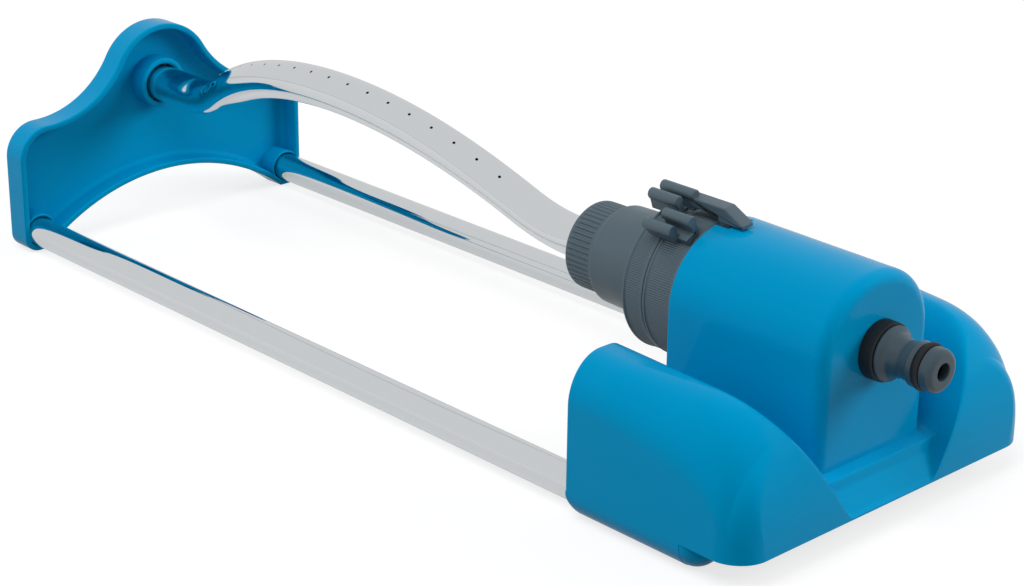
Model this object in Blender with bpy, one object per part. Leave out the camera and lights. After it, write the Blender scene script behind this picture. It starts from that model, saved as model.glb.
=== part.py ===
"""Oscillating lawn sprinkler: a water motor in a moulded housing turns an arched spray bar.

Units are metres, +Z is up and the spray bar's pivot axis runs along X. The inlet is at +X.
The origin is at the centre of the footprint, on the ground.
Angles round the pivot axis are measured from straight up towards -Y, in degrees.
"""
import math

import bmesh
import bpy
from mathutils import Matrix, Vector

MM = 0.001

# Gap left between pieces that touch
CLEARANCE = 0.3 * MM

# Frame: two rails between the end bracket and the motor housing
AXIS_HEIGHT = 57.2 * MM
RAIL_SPAN = 307.6 * MM
RAIL_DIAMETER = 11.4 * MM
RAIL_WALL = 1.0 * MM
RAIL_OFFSET = 61.8 * MM
CRADLE_WALL = 1.7 * MM
CRADLE_RADIUS = RAIL_DIAMETER / 2 + CLEARANCE + CRADLE_WALL
RAIL_HEIGHT = CRADLE_RADIUS
RAIL_INSERTION = 46.0 * MM

# End bracket: a dish with a bell-shaped top and an arched underside
BRACKET_DEPTH = 11.1 * MM
BRACKET_WALL = 2.4 * MM
BRACKET_SIDE = 7.2 * MM
BRACKET_HALF_WIDTH = RAIL_OFFSET + BRACKET_SIDE
SHOULDER_HEIGHT = 50.6 * MM
SHOULDER_RADIUS = 13.0 * MM
BELL_RADIUS = 22.0 * MM
BELL_RISE = 2.8 * MM
SADDLE_RADIUS = 40.0 * MM
UNDERARCH_RADIUS = 94.0 * MM
UNDERARCH_CROWN = 20.6 * MM
FOOT_RADIUS = 6.0 * MM
RAIL_BOSS_WALL = 1.5 * MM
PIVOT_BOSS_WALL = 2.3 * MM
PIVOT_BORE = 16.1 * MM
PIVOT_PIN_DIAMETER = 6.0 * MM
PIVOT_BUSH_LENGTH = 3.0 * MM

# Spray bar: a bent tube with a row of nozzle holes along its top
TUBE_DIAMETER = 14.5 * MM
TUBE_WALL = 0.9 * MM
BEND_HALF_LENGTH = 109.2 * MM
BEND_HEIGHT = 33.7 * MM
CROWN_SHARE = 0.787
BEND_TO_HOUSING = 66.7 * MM
BAR_TILT = 28.8
HOLE_COUNT = 17
HOLE_PITCH = 9.96 * MM
HOLE_DIAMETER = 1.1 * MM
PLUG_LENGTH = 7.0 * MM
PLUG_FLANGE = 1.5 * MM

# Collar nut and spray head, set back from the housing's rear wall
RING_GAP = 0.4 * MM
INNER_RING_WIDTH = 10.2 * MM
OUTER_RING_WIDTH = 10.9 * MM
RING_DIAMETER = 50.0 * MM
BARREL_DIAMETER = 44.0 * MM
BARREL_WALL = 2.2 * MM
HEAD_SHOULDER_DIAMETER = 35.4 * MM
HEAD_LENGTH = 26.6 * MM
HEAD_SMALL_DIAMETER = 33.8 * MM
HEAD_ROUND = 1.6 * MM
HEAD_WEB = 2.2 * MM
COLLAR_LENGTH = 9.0 * MM
COLLAR_DIAMETER = 31.8 * MM
COLLAR_ROUND = 1.0 * MM
COLLAR_RIBS = 30
COLLAR_RIB_DEPTH = 0.5 * MM
COLLAR_FACE = 3.0 * MM
SLEEVE_DIAMETER = 25.2 * MM
TUBE_SOCKET = 4.5 * MM
SEAL_LENGTH = 1.9 * MM

# Tabs: walls with bulb tips that stand on the trip lever and on the limit rings
TAB_TIP_RADIUS = 32.5 * MM
TAB_WALL = 2.2 * MM
TAB_BULB = 3.2 * MM
TAB_LIFT = 0.7 * MM
TAB_WEB = 1.5 * MM
TAB_SPREAD = 10.3
LEVER_ANGLE = 9.2
LEVER_SWING = 12.0
LEVER_TAB_LENGTH = 12.3 * MM
INNER_TAB_ANGLE = 29.5
INNER_TAB_LENGTH = 12.0 * MM
OUTER_TAB_ANGLE = -80.0
LEVER_STEM_ANGLE = 7.0
LEVER_STEM_WIDTH = 3.7 * MM
LEVER_THICKNESS = 2.4 * MM
LEVER_ARM_HEIGHT = 3.4 * MM
LEVER_ARM_WIDTH = 5.0 * MM
YOKE_DIAMETER = 28.0 * MM

# Motor housing: a tunnel over the motor between two fenders over the rails
HOUSING_LENGTH = 72.2 * MM
HOUSING_SIDE = 8.2 * MM
HOUSING_HALF_WIDTH = RAIL_OFFSET + HOUSING_SIDE
HOUSING_WALL = 2.2 * MM
RIM_HEIGHT = 8.0 * MM
CREST_RISE = 45.6 * MM
CREST_CORNER = 12.0 * MM
PLAN_CORNER = 12.0 * MM
VALLEY_Y = 24.6 * MM
VALLEY_RISE = 8.5 * MM
VALLEY_SLOPE = 1.41
CREST_LEVEL = 1.5 * MM
VALLEY_TOP = HOUSING_HALF_WIDTH - CREST_CORNER - CREST_LEVEL
FENDER_START = 30.0 * MM
FENDER_POWER = 2.85
BLEND_POWER = 14.0
FRONT_SHARE = 0.04
PLATFORM_RISE = 6.0 * MM
PLATFORM_LIP = 2.5 * MM
PLATFORM_RAMP = 12.0 * MM
CASE_DIAMETER = 47.2 * MM
CASE_GAP = 0.7 * MM
TUNNEL_RADIUS = CASE_DIAMETER / 2 + CASE_GAP + HOUSING_WALL
TUNNEL_LENGTH = 56.5 * MM
LEDGE_REACH = 2.3 * MM
LEDGE_TOP = 16.5 * MM
NOTCH_LENGTH = 10.3 * MM
NOTCH_ANGLE = 14.0
INLET_BOSS_DIAMETER = 23.0 * MM
INLET_BOSS_LENGTH = 5.3 * MM

# Base tray and its screws
TRAY_GAP = 0.4 * MM
TRAY_SKIN = 2.0 * MM
TRAY_LENGTH = 50.5 * MM
SCREW_DIAMETER = 3.0 * MM
SCREW_HEAD_DIAMETER = 5.6 * MM
SCREW_HEAD_HEIGHT = 1.8 * MM
SCREW_LENGTH = 8.0 * MM
SCREW_X = 12.0 * MM
SCREW_SPACING = 34.0 * MM
SCREW_Y = 46.0 * MM
SCREW_BOSS_DIAMETER = 7.4 * MM
SCREW_BOSS_HEIGHT = 30.0 * MM

# Inlet connector: the nipple of a click-on hose coupling
NOSE_REACH = 14.8 * MM
NOSE_DIAMETER = 14.6 * MM
NOSE_LENGTH = 5.6 * MM
NOSE_ROUND = 1.4 * MM
O_RING_DIAMETER = 16.0 * MM
O_RING_WIDTH = 2.6 * MM
O_RING_SEAT = 12.6 * MM
NECK_DIAMETER = 13.4 * MM
FLANGE_DIAMETER = 18.6 * MM
SHANK_DIAMETER = 15.6 * MM
BORE_DIAMETER = 8.8 * MM
NOSE_BORE_DIAMETER = 5.0 * MM
SHOULDER_SEAL_DIAMETER = 19.2 * MM
SHOULDER_SEAL_LENGTH = 4.2 * MM

# Water motor; its gears and turbine are as large as the case's bore lets them be
CASE_WALL = 1.4 * MM
CASE_BORE = CASE_DIAMETER - 2 * CASE_WALL
CASE_BACK = 1.8 * MM
NECK_TUBE_DIAMETER = 21.0 * MM
SHAFT_DIAMETER = 12.6 * MM
SHAFT_BORE = 8.4 * MM
SHAFT_SEAT = 8.0 * MM
SHAFT_SEAL_LENGTH = 2.1 * MM
SHAFT_SEAL_DIAMETER = 16.6 * MM
WHEEL_TEETH = 24
PINION_TEETH = 8
TOOTH_ADDENDUM = 0.85
TOOTH_DEDENDUM = 1.2
GEAR_TO_CASE = 0.5625 * MM
GEAR_MODULE = (CASE_BORE / 2 - GEAR_TO_CASE) / (WHEEL_TEETH + PINION_TEETH / 2 + TOOTH_ADDENDUM)
CENTRE_DISTANCE = GEAR_MODULE * (WHEEL_TEETH + PINION_TEETH) / 2
WHEEL_FACE = 2.5 * MM
STAGE_GAP = 0.5 * MM
PIN_DIAMETER = 2.0 * MM
BULKHEAD = 1.5 * MM
JET_PLATE = 2.2 * MM
JET_DIAMETER = 3.2 * MM
JET_OFFSET = 7.0 * MM
TURBINE_TO_CASE = 0.9 * MM
TURBINE_DIAMETER = CASE_BORE - 2 * (CENTRE_DISTANCE + TURBINE_TO_CASE)
TURBINE_WIDTH = 6.0 * MM
TURBINE_BLADES = 10
BLADE_THICKNESS = 0.9 * MM
FLAP_THICKNESS = 1.8 * MM
FLAP_ANGLE = 31.0
COVER_FLANGE = 4.6 * MM
COVER_SPIGOT = 4.5 * MM
FILTER_LENGTH = 12.0 * MM
FILTER_DIAMETER = 13.6 * MM
FILTER_WALL = 0.8 * MM

# Places that follow from the sizes
TOTAL_LENGTH = BRACKET_DEPTH + RAIL_SPAN + HOUSING_LENGTH + NOSE_REACH
X_BACK = -TOTAL_LENGTH / 2
X_RIM = X_BACK + BRACKET_DEPTH
X_REAR = X_RIM + RAIL_SPAN
X_FRONT = X_REAR + HOUSING_LENGTH
X_NOSE = X_FRONT + NOSE_REACH
AXIS = Vector((0.0, 0.0, AXIS_HEIGHT))
LAY_AXIS = Vector((0.0, 0.0, AXIS_HEIGHT - CENTRE_DISTANCE))


# Scene and mesh helpers

def clear_scene():
    for item in list(bpy.data.objects):
        bpy.data.objects.remove(item, do_unlink=True)


def material(name, hex_colour, roughness, metallic=0.0):
    """Return a Principled material; the sRGB hex colour is turned to linear."""
    found = bpy.data.materials.get(name)
    if found:
        return found
    made = bpy.data.materials.new(name)
    made.use_nodes = True
    linear = []
    for start in (0, 2, 4):
        value = int(hex_colour[start:start + 2], 16) / 255
        linear.append(value / 12.92 if value <= 0.04045 else ((value + 0.055) / 1.055) ** 2.4)
    shader = made.node_tree.nodes["Principled BSDF"]
    shader.inputs["Base Color"].default_value = (*linear, 1.0)
    shader.inputs["Roughness"].default_value = roughness
    shader.inputs["Metallic"].default_value = metallic
    made.diffuse_color = (*linear, 1.0)
    return made


def housing_plastic():
    return material("blue_abs", "0096C8", 0.3)


def grey_plastic():
    return material("grey_acetal", "59646A", 0.45)


def inner_plastic():
    return material("natural_acetal", "D8D8D0", 0.5)


def aluminium():
    return material("polished_aluminium", "D4D7DA", 0.25, 1.0)


def steel():
    return material("zinc_plated_steel", "B8BCC0", 0.35, 1.0)


def rubber():
    return material("black_rubber", "141516", 0.6)


def add_object(name, mesh_data, finish=None, location=(0, 0, 0), tilt=0.0):
    """Link a new object; the mesh is written about the object's own origin."""
    made = bpy.data.objects.new(name, mesh_data)
    bpy.context.scene.collection.objects.link(made)
    made.location = location
    made.rotation_euler.x = math.radians(tilt)
    if finish:
        mesh_data.materials.append(finish)
    return made


def mesh_from(bm, name="shape"):
    """Turn a bmesh into a mesh with its faces pointing out."""
    bmesh.ops.remove_doubles(bm, verts=bm.verts, dist=1e-6)
    bmesh.ops.dissolve_degenerate(bm, edges=bm.edges, dist=1e-6)
    bmesh.ops.recalc_face_normals(bm, faces=bm.faces)
    mesh_data = bpy.data.meshes.new(name)
    bm.to_mesh(mesh_data)
    bm.free()
    return mesh_data


def smooth(item, angle=35.0):
    item.data.shade_smooth()
    item.data.set_sharp_from_angle(angle=math.radians(angle))


def combine(target, others, operation):
    """Apply an exact Boolean of each other object to the target and delete the others."""
    for other in others:
        modifier = target.modifiers.new("combine", "BOOLEAN")
        modifier.operation = operation
        modifier.solver = "EXACT"
        modifier.object = other
        bpy.context.view_layer.update()
        graph = bpy.context.evaluated_depsgraph_get()
        result = bpy.data.meshes.new_from_object(target.evaluated_get(graph))
        target.modifiers.clear()
        old = target.data
        finish = old.materials[0] if old.materials else None
        target.data = result
        result.materials.clear()
        if finish:
            result.materials.append(finish)
        bpy.data.meshes.remove(old)
        spent = other.data
        bpy.data.objects.remove(other, do_unlink=True)
        bpy.data.meshes.remove(spent)
    return target


def join(target, *others):
    return combine(target, others, "UNION")


def cut(target, *others):
    return combine(target, others, "DIFFERENCE")


# Shapes

def arc(centre, radius, start, end, steps):
    """Points of an arc in a plane; the angles are in degrees from the first axis."""
    points = []
    for step in range(steps + 1):
        angle = math.radians(start + (end - start) * step / steps)
        points.append((centre[0] + radius * math.cos(angle), centre[1] + radius * math.sin(angle)))
    return points


def lathe_mesh(profile, segments):
    """Turn a closed profile of (x, radius) points about the X axis."""
    bm = bmesh.new()
    rings = []
    for x, radius in profile:
        if radius < 1e-7:
            rings.append([bm.verts.new((x, 0, 0))])
            continue
        ring = []
        for step in range(segments):
            angle = 2 * math.pi * step / segments
            ring.append(bm.verts.new((x, radius * math.cos(angle), radius * math.sin(angle))))
        rings.append(ring)
    for index, ring in enumerate(rings):
        following = rings[(index + 1) % len(rings)]
        if len(ring) == 1 and len(following) == 1:
            continue
        for step in range(segments):
            after = (step + 1) % segments
            corners = [ring[step % len(ring)], ring[after % len(ring)]]
            corners += [following[after % len(following)], following[step % len(following)]]
            unique = list(dict.fromkeys(corners))
            bm.faces.new(unique)
    return mesh_from(bm)


def lathe(name, profile, finish=None, segments=32, location=AXIS):
    item = add_object(name, lathe_mesh(profile, segments), finish, location)
    smooth(item)
    return item


def prism_mesh(outline, axis, low, high):
    """Extrude a closed outline along an axis; outlines are (y, z), (x, z) or (x, y)."""
    bm = bmesh.new()
    place = {
        "X": lambda a, b, depth: (depth, a, b),
        "Y": lambda a, b, depth: (a, depth, b),
        "Z": lambda a, b, depth: (a, b, depth),
    }[axis]
    lower = [bm.verts.new(place(a, b, low)) for a, b in outline]
    upper = [bm.verts.new(place(a, b, high)) for a, b in outline]
    bm.faces.new(lower)
    bm.faces.new(upper)
    for index in range(len(outline)):
        after = (index + 1) % len(outline)
        bm.faces.new((lower[index], lower[after], upper[after], upper[index]))
    return mesh_from(bm)


def prism(outline, axis, low, high, location=(0, 0, 0), name="shape", finish=None):
    return add_object(name, prism_mesh(outline, axis, low, high), finish, location)


def box(low, high, location=(0, 0, 0)):
    outline = [(low[0], low[1]), (high[0], low[1]), (high[0], high[1]), (low[0], high[1])]
    return prism(outline, "Z", low[2], high[2], location)


def rod(start, end, radius, centre=(0.0, 0.0), axis="X", segments=24, location=(0, 0, 0)):
    """A round bar along an axis; the centre is given in the plane across it."""
    return prism(arc(centre, radius, 0, 360 * (segments - 1) / segments, segments - 1),
                 axis, start, end, location)


def polar(angle, radius):
    """Point of a (y, z) section at an angle from straight up towards -Y."""
    turned = math.radians(angle)
    return (-radius * math.sin(turned), radius * math.cos(turned))


def sector(inner, outer, first, last, steps=8):
    """Outline of a ring sector about the pivot axis."""
    near = []
    far = []
    for step in range(steps + 1):
        angle = first + (last - first) * step / steps
        near.append(polar(angle, inner))
        far.append(polar(angle, outer))
    return near + far[::-1]


def tube_mesh(path, normals, outer, inner, sides):
    """Sweep a round wall along a path in the XZ plane; inner 0 makes a solid bar."""
    bm = bmesh.new()
    skins = []
    for radius in ((outer, inner) if inner else (outer,)):
        rings = []
        for point, normal in zip(path, normals):
            ring = []
            for side in range(sides):
                angle = 2 * math.pi * side / sides
                offset = normal * math.cos(angle) + Vector((0, 1, 0)) * math.sin(angle)
                ring.append(bm.verts.new(point + offset * radius))
            rings.append(ring)
        for first, second in zip(rings, rings[1:]):
            for side in range(sides):
                after = (side + 1) % sides
                bm.faces.new((first[side], first[after], second[after], second[side]))
        skins.append(rings)
    for end in (0, -1):
        if inner:
            for side in range(sides):
                after = (side + 1) % sides
                a, b = skins[0][end], skins[1][end]
                bm.faces.new((a[side], a[after], b[after], b[side]))
        else:
            bm.faces.new(skins[0][end])
    return mesh_from(bm)


def straight_tube(name, start, end, centre, outer, inner, finish, sides=20):
    """A straight tube along X at a (y, z) centre."""
    path = [Vector((start, 0, 0)), Vector((end, 0, 0))]
    normals = [Vector((0, 0, 1))] * 2
    item = add_object(name, tube_mesh(path, normals, outer, inner, sides), finish, (0, *centre))
    smooth(item)
    return item


# End bracket and rails

def bracket_half_outline(inset):
    """Right half of the bracket's outline, from the top down to the under-arch's crown."""
    bell_centre = (0.0, AXIS_HEIGHT + BELL_RISE)
    bell = BELL_RADIUS - inset
    saddle = SADDLE_RADIUS + inset
    saddle_z = SHOULDER_HEIGHT + SADDLE_RADIUS
    rise = saddle_z - bell_centre[1]
    saddle_y = math.sqrt((BELL_RADIUS + SADDLE_RADIUS) ** 2 - rise ** 2)
    meet = math.degrees(math.atan2(rise, saddle_y))
    points = arc(bell_centre, bell, 90, meet, 8)
    points += arc((saddle_y, saddle_z), saddle, 180 + meet, 270, 6)[1:]
    width = BRACKET_HALF_WIDTH - inset
    corner = SHOULDER_RADIUS - inset
    corner_centre = (width - corner, SHOULDER_HEIGHT - inset - corner)
    points += arc(corner_centre, corner, 90, 0, 5)
    foot = FOOT_RADIUS - inset
    points += arc((width - foot, inset + foot), foot, 0, -90, 4)
    arch_z = UNDERARCH_CROWN - UNDERARCH_RADIUS
    arch = UNDERARCH_RADIUS + inset
    spring = math.degrees(math.asin((inset - arch_z) / arch))
    points += arc((0.0, arch_z), arch, spring, 90, 10)
    return points


def bracket_outline(inset=0.0):
    half = bracket_half_outline(inset)
    return half + [(-y, z) for y, z in half[-2:0:-1]]


def rail_sides():
    return (("near_rail", -RAIL_OFFSET), ("far_rail", RAIL_OFFSET))


def make_bracket():
    finish = housing_plastic()
    bracket = prism(bracket_outline(), "X", X_BACK, X_RIM, name="end_bracket", finish=finish)
    floor = X_BACK + BRACKET_WALL
    cut(bracket, prism(bracket_outline(BRACKET_WALL), "X", floor, X_RIM + 1 * MM))
    rail_bore = RAIL_DIAMETER / 2 + CLEARANCE
    for _, y in rail_sides():
        centre = (y, RAIL_HEIGHT)
        join(bracket, rod(X_BACK + BRACKET_WALL / 2, X_RIM, rail_bore + RAIL_BOSS_WALL, centre))
    pivot = (0.0, AXIS_HEIGHT)
    join(bracket, rod(X_BACK + BRACKET_WALL / 2, X_RIM, PIVOT_BORE / 2 + PIVOT_BOSS_WALL, pivot))
    for _, y in rail_sides():
        cut(bracket, rod(floor, X_RIM + 1 * MM, rail_bore, (y, RAIL_HEIGHT)))
    cut(bracket, rod(floor, X_RIM + 1 * MM, PIVOT_BORE / 2, pivot))
    smooth(bracket)


def make_rails():
    start = X_BACK + BRACKET_WALL + CLEARANCE
    end = X_REAR + RAIL_INSERTION
    outer = RAIL_DIAMETER / 2
    for name, y in rail_sides():
        straight_tube(name, start, end, (y, RAIL_HEIGHT), outer, outer - RAIL_WALL, aluminium())


# Motor housing

def blended(height, limit):
    """Softly take the lower of two heights."""
    low, high = sorted((height, limit))
    return low * (1 + (low / high) ** BLEND_POWER) ** (-1 / BLEND_POWER)


def fender_stations(inset):
    """Places along X with the crest's rise there: flat at the rear, then a superellipse."""
    crest = CREST_RISE - inset
    start = X_REAR + FENDER_START
    reach = X_FRONT - inset - start
    stations = [(X_REAR + inset, crest), ((X_REAR + inset + start) / 2, crest)]
    steps = 8
    for step in range(steps + 1):
        share = FRONT_SHARE + (1 - FRONT_SHARE) * math.cos(math.pi / 2 * step / steps)
        along = (1 - share ** FENDER_POWER) ** (1 / FENDER_POWER)
        stations.append((start + reach * along, crest * share))
    return stations


def fender_half_section(x, crest, inset):
    """Half section at one station: (y, rise over the rim) from the side wall to the middle."""
    width = HOUSING_HALF_WIDTH - inset
    corner = min(CREST_CORNER - inset, 0.8 * crest)
    points = [(width, 0.0)]
    points += arc((width - corner, crest - corner), corner, 0, 90, 5)
    lowered = inset * math.sqrt(1 + VALLEY_SLOPE ** 2)
    reach = max(0.0, min(1.0, (X_FRONT - x) / PLATFORM_RAMP))
    platform = PLATFORM_LIP + (PLATFORM_RISE - PLATFORM_LIP) * reach - inset
    foot = VALLEY_Y - (VALLEY_RISE - PLATFORM_RISE) / VALLEY_SLOPE
    steps = 6
    for step in range(steps + 1):
        y = VALLEY_TOP + (foot - VALLEY_TOP) * (step / steps) ** 1.6
        slope = VALLEY_RISE + (y - VALLEY_Y) * VALLEY_SLOPE - lowered
        points.append((y, blended(max(slope, platform), crest)))
    points.append((0.0, blended(platform, crest)))
    return points


def corner_cutter(side, inset):
    """Prism that rounds a front corner of the housing in plan."""
    corner = PLAN_CORNER - inset
    width = HOUSING_HALF_WIDTH - inset
    front = X_FRONT - inset
    outline = [(front - corner - 2 * MM, width + 0.3 * MM)]
    outline += arc((front - corner, width - corner), corner, 84, 2, 4)
    outline += [(front + 1 * MM, width - corner - 2 * MM), (front + 1 * MM, width + 3 * MM),
                (front - corner - 2 * MM, width + 3 * MM)]
    outline = [(x, y * side) for x, y in outline]
    return prism(outline, "Z", -1 * MM, AXIS_HEIGHT * 2)


def fender_block(inset, drop):
    """Closed solid of both fenders and the valley between them, down to the rim less a drop."""
    bm = bmesh.new()
    rows = []
    for x, crest in fender_stations(inset):
        half = [(y, RIM_HEIGHT + rise) for y, rise in fender_half_section(x, crest, inset)]
        half[0] = (half[0][0], RIM_HEIGHT - drop)
        row = half + [(-y, z) for y, z in half[-2::-1]]
        rows.append([bm.verts.new((x, y, z)) for y, z in row])
    for first, second in zip(rows, rows[1:]):
        for index in range(len(first) - 1):
            bm.faces.new((first[index], first[index + 1], second[index + 1]))
            bm.faces.new((first[index], second[index + 1], second[index]))
        bm.faces.new((first[0], first[-1], second[-1], second[0]))
    bm.faces.new(rows[0])
    bm.faces.new(rows[-1])
    block = add_object("fenders", mesh_from(bm))
    return cut(block, corner_cutter(1, inset), corner_cutter(-1, inset))


def tunnel_outline(radius, bottom):
    points = arc((0.0, AXIS_HEIGHT), radius, 0, 180, 20)
    return [(radius, bottom)] + points + [(-radius, bottom)]


def screw_places():
    places = []
    for step in (0, 1):
        for side in (-1, 1):
            places.append((X_REAR + SCREW_X + SCREW_SPACING * step, side * SCREW_Y))
    return places


def make_housing():
    housing = fender_block(0.0, 0.0)
    housing.name = "motor_housing"
    housing.data.materials.append(housing_plastic())
    tunnel_end = X_REAR + TUNNEL_LENGTH
    join(housing, prism(tunnel_outline(TUNNEL_RADIUS, RIM_HEIGHT + 1 * MM), "X", X_REAR, tunnel_end))
    ledge_side = TUNNEL_RADIUS - 1 * MM
    join(housing, box((tunnel_end - 1 * MM, -ledge_side, RIM_HEIGHT + 1 * MM),
                      (tunnel_end + LEDGE_REACH, ledge_side, LEDGE_TOP)))
    cut(housing, fender_block(HOUSING_WALL, 1 * MM))
    inner = TUNNEL_RADIUS - HOUSING_WALL
    cut(housing, prism(tunnel_outline(inner, RIM_HEIGHT - 1 * MM), "X",
                       X_REAR + HOUSING_WALL, tunnel_end - HOUSING_WALL))
    axis = (0.0, AXIS_HEIGHT)
    join(housing, rod(tunnel_end - HOUSING_WALL / 2, tunnel_end + INLET_BOSS_LENGTH,
                      INLET_BOSS_DIAMETER / 2, axis, segments=28))
    cut(housing, rod(tunnel_end - 2 * HOUSING_WALL, tunnel_end + INLET_BOSS_LENGTH + 1 * MM,
                     SHANK_DIAMETER / 2 + CLEARANCE, axis, segments=24))
    cut(housing, rod(X_REAR - 1 * MM, X_REAR + 2 * HOUSING_WALL,
                     NECK_TUBE_DIAMETER / 2 + CLEARANCE, axis, segments=28))
    notch = sector(AXIS_HEIGHT / 3, TUNNEL_RADIUS + 5 * MM, -NOTCH_ANGLE, NOTCH_ANGLE)
    notch_start = X_REAR + HOUSING_WALL
    cut(housing, prism(notch, "X", notch_start, X_REAR + NOTCH_LENGTH, AXIS))
    outer_notch = sector(TUNNEL_RADIUS - HOUSING_WALL - 1 * MM, TUNNEL_RADIUS + 5 * MM,
                         -NOTCH_ANGLE, NOTCH_ANGLE)
    cut(housing, prism(outer_notch, "X", X_REAR - 1 * MM, notch_start + 1 * MM, AXIS))
    slot = RAIL_DIAMETER / 2 + CLEARANCE
    for _, y in rail_sides():
        cut(housing, rod(X_REAR - 1 * MM, X_REAR + 2 * HOUSING_WALL, slot, (y, RAIL_HEIGHT)))
    for x, y in screw_places():
        top = RIM_HEIGHT + SCREW_BOSS_HEIGHT
        boss = rod(RIM_HEIGHT, top, SCREW_BOSS_DIAMETER / 2, (x, y), "Z", 10)
        join(housing, boss)
        cut(housing, rod(RIM_HEIGHT - 1 * MM, RIM_HEIGHT + SCREW_LENGTH + 1 * MM,
                         SCREW_DIAMETER / 2 + CLEARANCE, (x, y), "Z", 10))
    smooth(housing, 30.0)


def make_tray():
    """Base tray: a thin floor between two cradles that wrap round the rails from below."""
    top = RIM_HEIGHT - TRAY_GAP
    low = RAIL_HEIGHT - CRADLE_RADIUS
    floor_top = low + TRAY_SKIN
    inner_y = RAIL_OFFSET - CRADLE_RADIUS
    top_angle = math.degrees(math.asin((top - RAIL_HEIGHT) / CRADLE_RADIUS))
    right = arc((RAIL_OFFSET, RAIL_HEIGHT), CRADLE_RADIUS, top_angle, -90, 8)
    left = [(-y, z) for y, z in right[::-1]]
    section = right + left + [(-inner_y, top), (-inner_y, floor_top)]
    section += [(inner_y, floor_top), (inner_y, top)]
    start = X_REAR + CLEARANCE / 3
    end = X_REAR + TRAY_LENGTH
    tray = prism(section, "X", start, end, name="base_tray", finish=housing_plastic())
    for _, y in rail_sides():
        ball = CRADLE_RADIUS - 0.15 * MM
        nose = arc((end, 0.0), ball, 90, 0, 4)
        foot = lathe("foot", [(end - 2 * MM, 0.0), (end - 2 * MM, ball)] + nose[:-1]
                     + [(end + ball, 0.0)], None, 20, (0, y, RAIL_HEIGHT))
        cut(foot, box((end - 9 * MM, -9 * MM, top - RAIL_HEIGHT - 0.15 * MM),
                      (end + 9 * MM, 9 * MM, 9 * MM), (0, y, RAIL_HEIGHT)))
        join(tray, foot)
    bore = RAIL_DIAMETER / 2 + CLEARANCE
    for _, y in rail_sides():
        cut(tray, rod(start - 1 * MM, X_REAR + RAIL_INSERTION + CLEARANCE, bore, (y, RAIL_HEIGHT)))
    for x, y in screw_places():
        post = rod(low, top, SCREW_HEAD_DIAMETER / 2 + 1.5 * MM, (x, y), "Z", 12)
        join(tray, post)
        cut(tray, rod(low - 1 * MM, top + 1 * MM, SCREW_DIAMETER / 2 + CLEARANCE, (x, y), "Z", 10))
        cut(tray, rod(low - 1 * MM, low + SCREW_HEAD_HEIGHT + CLEARANCE * 2,
                      SCREW_HEAD_DIAMETER / 2 + CLEARANCE, (x, y), "Z", 12))
    smooth(tray)
    for index, (x, y) in enumerate(screw_places(), 1):
        make_screw(f"tray_screw_{index}", x, y, low + CLEARANCE)


def make_screw(name, x, y, z):
    """A pan-head screw that points up, with a cross recess in its head."""
    screw = rod(0.0, SCREW_HEAD_HEIGHT, SCREW_HEAD_DIAMETER / 2, axis="Z", segments=12)
    shank_top = RIM_HEIGHT + SCREW_LENGTH - z
    join(screw, rod(SCREW_HEAD_HEIGHT / 2, shank_top, SCREW_DIAMETER / 2, axis="Z", segments=10))
    arm = SCREW_HEAD_DIAMETER * 0.3
    half = SCREW_HEAD_DIAMETER * 0.08
    depth = SCREW_HEAD_HEIGHT * 0.5
    cut(screw, box((-arm, -half, -depth), (arm, half, depth)))
    cut(screw, box((-half, -arm, -depth), (half, arm, depth)))
    screw.name = name
    screw.location = (x, y, z)
    screw.data.materials.append(steel())
    smooth(screw)


# Inlet

def connector_places():
    """Places along X of the connector's O-ring seat, flange and inner end."""
    ring = X_NOSE - NOSE_LENGTH - O_RING_WIDTH / 2
    boss = X_REAR + TUNNEL_LENGTH + INLET_BOSS_LENGTH
    flange = boss + SHOULDER_SEAL_LENGTH + 2 * CLEARANCE
    inner = X_REAR + TUNNEL_LENGTH - HOUSING_WALL - CLEARANCE * 2 - COVER_FLANGE - COVER_SPIGOT
    return ring, boss, flange, inner


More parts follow.
